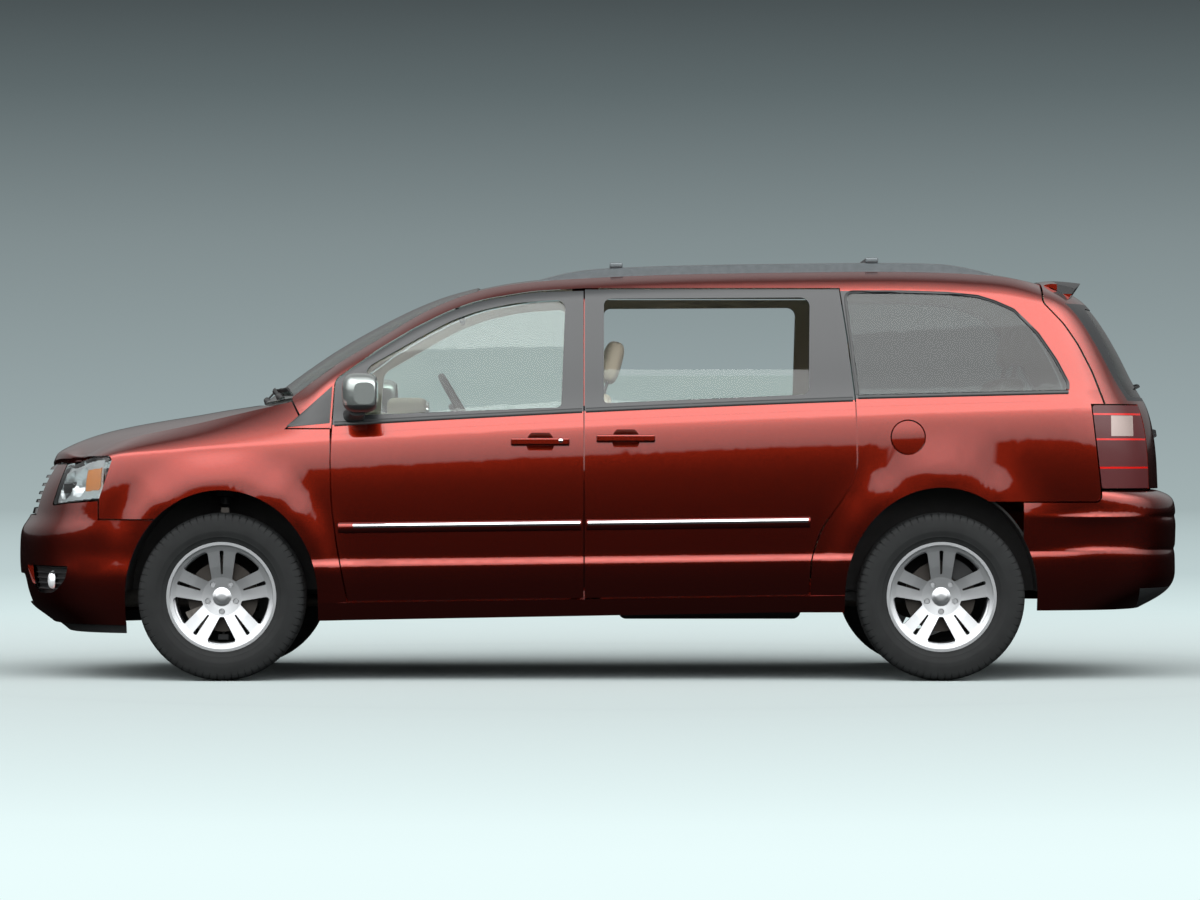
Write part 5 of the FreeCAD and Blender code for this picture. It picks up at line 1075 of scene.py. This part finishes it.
class BuildCabin(bpy.types.Operator):
    """Vents, dials, screen, knobs, lever, pedals, arm rests, visors and the cabin mirror"""
    bl_idname = "minivan.build_cabin"
    bl_label = "Cabin fittings"

    def execute(self, context):
        dash = target_of("dashboard")
        dark, light, bright = [], [], []

        def on_dash(y, z, wide, tall, thick):
            lines = [[(y - wide / 2, z + k * tall / 2), (y + wide / 2, z + k * tall / 2)] for k in (-1, 1)]
            return plate(*sheet_on(dash, *lines, 14, 7, **FROM_SEATS), thick)

        for y in (-0.60, -0.115, 0.115, 0.60):
            dark.append(on_dash(y, 1.03, 0.13, 0.075, 0.004))
            light += [on_dash(y, 1.03 + k * 0.016, 0.118, 0.005, 0.010) for k in (-1.5, -0.5, 0.5, 1.5)]
        dark.append(on_dash(0, 0.945, 0.2, 0.11, 0.005))
        for y in (-0.07, 0.0, 0.07):
            (at,), (out,) = cast(dash, [(0.2, y, 0.855)], AHEAD)
            bright.append(dome(at, out, 0.018, 0.016))
        for y in (0.315, 0.425):
            (at,), (out,) = cast(dash, [(0.2, y, 1.15)], AHEAD)
            dark.append(dome(at, out, 0.046, 0.003))
            ring = [(0.0, 0.044), (0.006, 0.046), (0.006, 0.049), (0.0, 0.051)]
            bright.append(spun_about(ring, at, out, 48))
        piece("dash_panels", dark, "screen", "body")
        piece("vent_slats", light, "dark_cabin", "body")
        piece("dash_knobs_and_rings", bright, "chrome", "body")

        (foot,), _ = cast(dash, [(0.2, 0.17, 0.93)], AHEAD)
        lever = [swept([foot + (0.004, 0, 0), foot + (-0.06, 0, 0.02), foot + (-0.11, 0, 0.06)], LEFT,
                       rounded(0.014, 0.014, 2, 12)),
                 dome(foot + (-0.105, 0, 0.052), (-0.7, 0, 0.7), 0.022, 0.035)]
        for y in (0.30, 0.43):
            arm = [(1.105, y, 0.66), (1.05, y, 0.60), (1.0, y, 0.53)]
            lever.append(swept(arm, LEFT, rounded(0.012, 0.016, 3, 10)))
            lever.append(swept([(1.006, y, 0.56), (0.990, y, 0.50)], LEFT, rounded(0.012, 0.07, 6, 20)))
        piece("lever_and_pedals", lever, "dark_plastic", "body")

        rests = []
        for node, x_from, x_to in (("front_door_left", 0.25, 0.80), ("sliding_door_left", -0.80, -0.25)):
            lines = [[(x_from, z), (x_to, z)] for z in (0.80, 0.81)]
            path, out = sheet_on(target_of(node), *lines, 24, 2, **FROM_MIDDLE)
            rests.append(swept(path[0] + out[0] * 0.022, out[0], rounded(0.06, 0.06, 4, 24)))
        both_sides("front_arm_rest", rests[:1], "cabin", DOORS)
        both_sides("slider_arm_rest", rests[1:], "cabin", BODY)

        roof = target_of("roof_panel")
        visors = []
        for y in (-0.34, 0.34):
            lines = [[(x, y - 0.18), (x, y + 0.18)] for x in (0.26, 0.42)]
            visors.append(plate(*sheet_on(roof, *lines, 16, 9, **FROM_CABIN_UP), 0.014))
        piece("sun_visors", visors, "cloth", "body")
        (top,), _ = cast(target_of("windshield", "roof_panel"), [(0.64, 0, 1.3)], UP)
        glass = top - (0.03, 0, 0.09)
        mirror = pad_part(glass, -AHEAD, LEFT, UP, (0.024, 0.25, 0.07), lambda s, t: 0 * s, 16, 40)
        stem = swept([top + (0, 0, 0.002), top - (0.004, 0, 0.05), glass + (0.006, 0, 0)], LEFT,
                     rounded(0.014, 0.014, 2, 12))
        piece("cabin_mirror", [mirror, stem], "dark_plastic", "body")
        return {"FINISHED"}


# Stage, light and camera

FLOOR_RADIUS, WALL_HEIGHT = 60.0, 40.0
# Colours of the floor's painted glow, which stands in for the light on it: near the car, far off and towards
# the camera
FLOOR_NEAR, FLOOR_FAR, FLOOR_AHEAD = "#DFF1F1", "#A3B2B3", "#EBFDFD"
# Painted light on the backdrop, which glows dimmer towards the top: its colours by height in metres
WALL_STOPS = ((0.0, "#A3B2B3"), (1.6, "#97A5A7"), (4.5, "#818D8F"), (7.0, "#5E696B"), (8.6, "#485052"),
              (40.0, "#485052"))
CAMERA_AT = (-0.0035, 21.937, 0.988)
FIELD_WIDTH, FIELD_DISTANCE = 5.1228, 21.0
SENSOR = 36.0
# Light of the surround by the sine of its elevation: dark under the horizon, bright and soft above it
SKY_STOPS = ((-1.0, 0.006), (0.040, 0.006), (0.052, 0.24), (0.2, 0.42), (0.35, 0.5), (0.5, 0.8), (0.8, 0.8),
             (0.9, 0.4), (1.0, 0.35))


def ramp_of(tree, factor, stops):
    """Colour ramp with the given places and colours."""
    made = add_node(tree, "ShaderNodeValToRGB", {"Fac": factor})
    points = made.color_ramp.elements
    while len(points) < len(stops):
        points.new(0.5)
    for point, (place, colour) in zip(points, stops):
        point.position = place
        point.color = colour
    return made


def ring_mesh(name, inner, outer, low, high, count=128):
    """Surface between two circles: the point at angle a and share s lies at the radius and height
    that are s of the way from the first circle to the second."""
    angle = np.linspace(0, 2 * np.pi, count, endpoint=False)
    rows = [np.stack([r * np.cos(angle), r * np.sin(angle), np.full(count, z)], 1) for r, z in
            ((inner, low), (outer, high))]
    made = bpy.data.meshes.new(name)
    first = np.arange(count)
    after = (first + 1) % count
    made.from_pydata(np.concatenate(rows).tolist(), [],
                     np.stack([first, after, after + count, first + count], 1).tolist())
    placed = bpy.data.objects.new(name, made)
    bpy.context.scene.collection.objects.link(placed)
    return placed


class BuildStage(bpy.types.Operator):
    """Pale floor that glows with painted light far off, graded backdrop that glows with painted light and
    dims towards the top, soft overhead light and the camera at the photograph's viewpoint
    """
    bl_idname = "minivan.build_stage"
    bl_label = "Build the stage"

    def execute(self, context):
        scene = context.scene
        scene.view_settings.view_transform = "Standard"
        floor = ring_mesh("floor", 0.001, FLOOR_RADIUS, 0.0, 0.0)
        floor.data.flip_normals()
        made, tree, shader = new_material("pale_floor_and_painted_glow", Roughness=0.9, Specular_IOR_Level=0.0)
        shader.inputs["Base Color"].default_value = linear("#8E9797")
        # Beyond 3.2 m from the middle the floor glows: painted light, darker far off and brighter towards the
        # camera
        distance = add_node(tree, "ShaderNodeVectorMath", {0: place_of(tree)},
                            operation="LENGTH").outputs["Value"]
        far = ramp_of(tree, math_node(tree, "DIVIDE", distance, FLOOR_RADIUS),
                      ((0.0, linear(FLOOR_NEAR)), (0.08, linear(FLOOR_NEAR)), (0.3, linear("#BECFD0")),
                       (1.0, linear(FLOOR_FAR))))
        across = add_node(tree, "ShaderNodeSeparateXYZ", {"Vector": place_of(tree)}).outputs["Y"]
        ahead = add_node(tree, "ShaderNodeMapRange", {"Value": across, 1: 1.0, 2: 10.0}).outputs[0]
        glow = add_node(tree, "ShaderNodeEmission", {
            "Color": blend_colours(tree, ahead, far.outputs["Color"], FLOOR_AHEAD)})
        share = add_node(tree, "ShaderNodeMapRange", {"Value": distance, 1: 3.2, 2: 9.0})
        mixed = add_node(tree, "ShaderNodeMixShader", {0: share.outputs[0], 1: shader.outputs["BSDF"],
                                                       2: glow.outputs["Emission"]})
        tree.links.new(mixed.outputs[0], tree.nodes["Material Output"].inputs["Surface"])
        floor.data.materials.append(made)
        floor.visible_glossy = False

        wall = ring_mesh("backdrop", FLOOR_RADIUS, FLOOR_RADIUS, 0.0, WALL_HEIGHT)
        made, tree, shader = new_material("graded_backdrop")
        height = add_node(tree, "ShaderNodeSeparateXYZ", {"Vector": place_of(tree)}).outputs["Z"]
        grade = ramp_of(tree, math_node(tree, "DIVIDE", height, WALL_HEIGHT),
                        [(z / WALL_HEIGHT, linear(colour)) for z, colour in WALL_STOPS])
        # The backdrop glows with painted light, dimmer towards the top
        glow = add_node(tree, "ShaderNodeEmission", {"Color": grade.outputs["Color"]})
        tree.links.new(glow.outputs["Emission"], tree.nodes["Material Output"].inputs["Surface"])
        wall.data.materials.append(made)
        wall.visible_glossy = False
        wall.visible_diffuse = False
        wall.visible_shadow = False

        world = bpy.data.worlds.new("studio")
        scene.world = world
        world.use_nodes = True
        tree = world.node_tree
        tree.nodes.clear()
        direction = add_node(tree, "ShaderNodeTexCoord").outputs["Generated"]
        up = add_node(tree, "ShaderNodeSeparateXYZ", {"Vector": direction}).outputs["Z"]
        share = math_node(tree, "MULTIPLY_ADD", up, 0.5, 0.5)
        light = ramp_of(tree, share, [(0.5 + 0.5 * z, (e, e, e, 1)) for z, e in SKY_STOPS])
        across = add_node(tree, "ShaderNodeSeparateXYZ", {"Vector": direction}).outputs["Y"]
        facing = add_node(tree, "ShaderNodeMapRange", {"Value": across, 1: -0.35, 2: 0.3, 3: 0.7, 4: 6.9})
        sky = add_node(tree, "ShaderNodeBackground", {"Color": light.outputs["Color"],
                                                      "Strength": facing.outputs[0]})
        add_node(tree, "ShaderNodeOutputWorld", {"Surface": sky.outputs["Background"]})

        lens = bpy.data.cameras.new("photo_camera")
        lens.sensor_width = SENSOR
        lens.lens = SENSOR * FIELD_DISTANCE / FIELD_WIDTH
        lens.clip_end = 200.0
        camera = bpy.data.objects.new("photo_camera", lens)
        camera.location = CAMERA_AT
        camera.rotation_euler = (math.pi / 2, 0.0, math.pi)
        scene.collection.objects.link(camera)
        scene.camera = camera
        return {"FINISHED"}


class MinivanColours(bpy.types.PropertyGroup):
    """Colours that a user would change"""
    paint: bpy.props.StringProperty(name="Paint", description="Base coat as an sRGB hex code",
                                    default="#5E1106")
    flake: bpy.props.StringProperty(name="Flake", description="Flakes in the base coat as an sRGB hex code",
                                    default="#7E1E0C")


class MinivanSizes(bpy.types.PropertyGroup):
    """Sizes that a user would change"""
    groove_depth: bpy.props.FloatProperty(name="Groove depth", description="Depth of the main tread grooves",
                                          default=0.0075, min=0.0, max=0.009, unit="LENGTH")
    strip_width: bpy.props.FloatProperty(name="Bright strip", description="Width of the strips on the doors",
                                         default=0.017, min=0.008, max=0.03, unit="LENGTH")
    plate_width: bpy.props.FloatProperty(name="Plate width", description="Width of the blank plate",
                                         default=0.305, min=0.2, max=0.45, unit="LENGTH")


SETTINGS = {"minivan_colours": MinivanColours, "minivan_sizes": MinivanSizes}
OPERATORS = (BuildStage, FinishFrame, BuildTyres, BuildSeats, BuildSideTrim, BuildLamps, BuildFront,
             BuildRear, BuildWheelTrim, BuildCabin)


class MinivanPanel(bpy.types.Panel):
    """Buttons for each group of pieces"""
    bl_idname = "VIEW3D_PT_minivan"
    bl_label = "Minivan"
    bl_space_type = "VIEW_3D"
    bl_region_type = "UI"
    bl_category = "Minivan"

    def draw(self, context):
        for name, group in SETTINGS.items():
            for prop in group.__annotations__:
                self.layout.prop(getattr(context.scene, name), prop)
        for operator in OPERATORS:
            self.layout.operator(operator.bl_idname)


CLASSES = (*SETTINGS.values(), *OPERATORS, MinivanPanel)


def register():
    for cls in CLASSES:
        bpy.utils.register_class(cls)
    for name, group in SETTINGS.items():
        setattr(bpy.types.Scene, name, bpy.props.PointerProperty(type=group))


def unregister():
    for name in SETTINGS:
        delattr(bpy.types.Scene, name)
    for cls in reversed(CLASSES):
        bpy.utils.unregister_class(cls)


def main():
    register()
    for operator in OPERATORS:
        getattr(bpy.ops.minivan, operator.bl_idname.split(".")[1])()


if __name__ == "__main__":
    main()
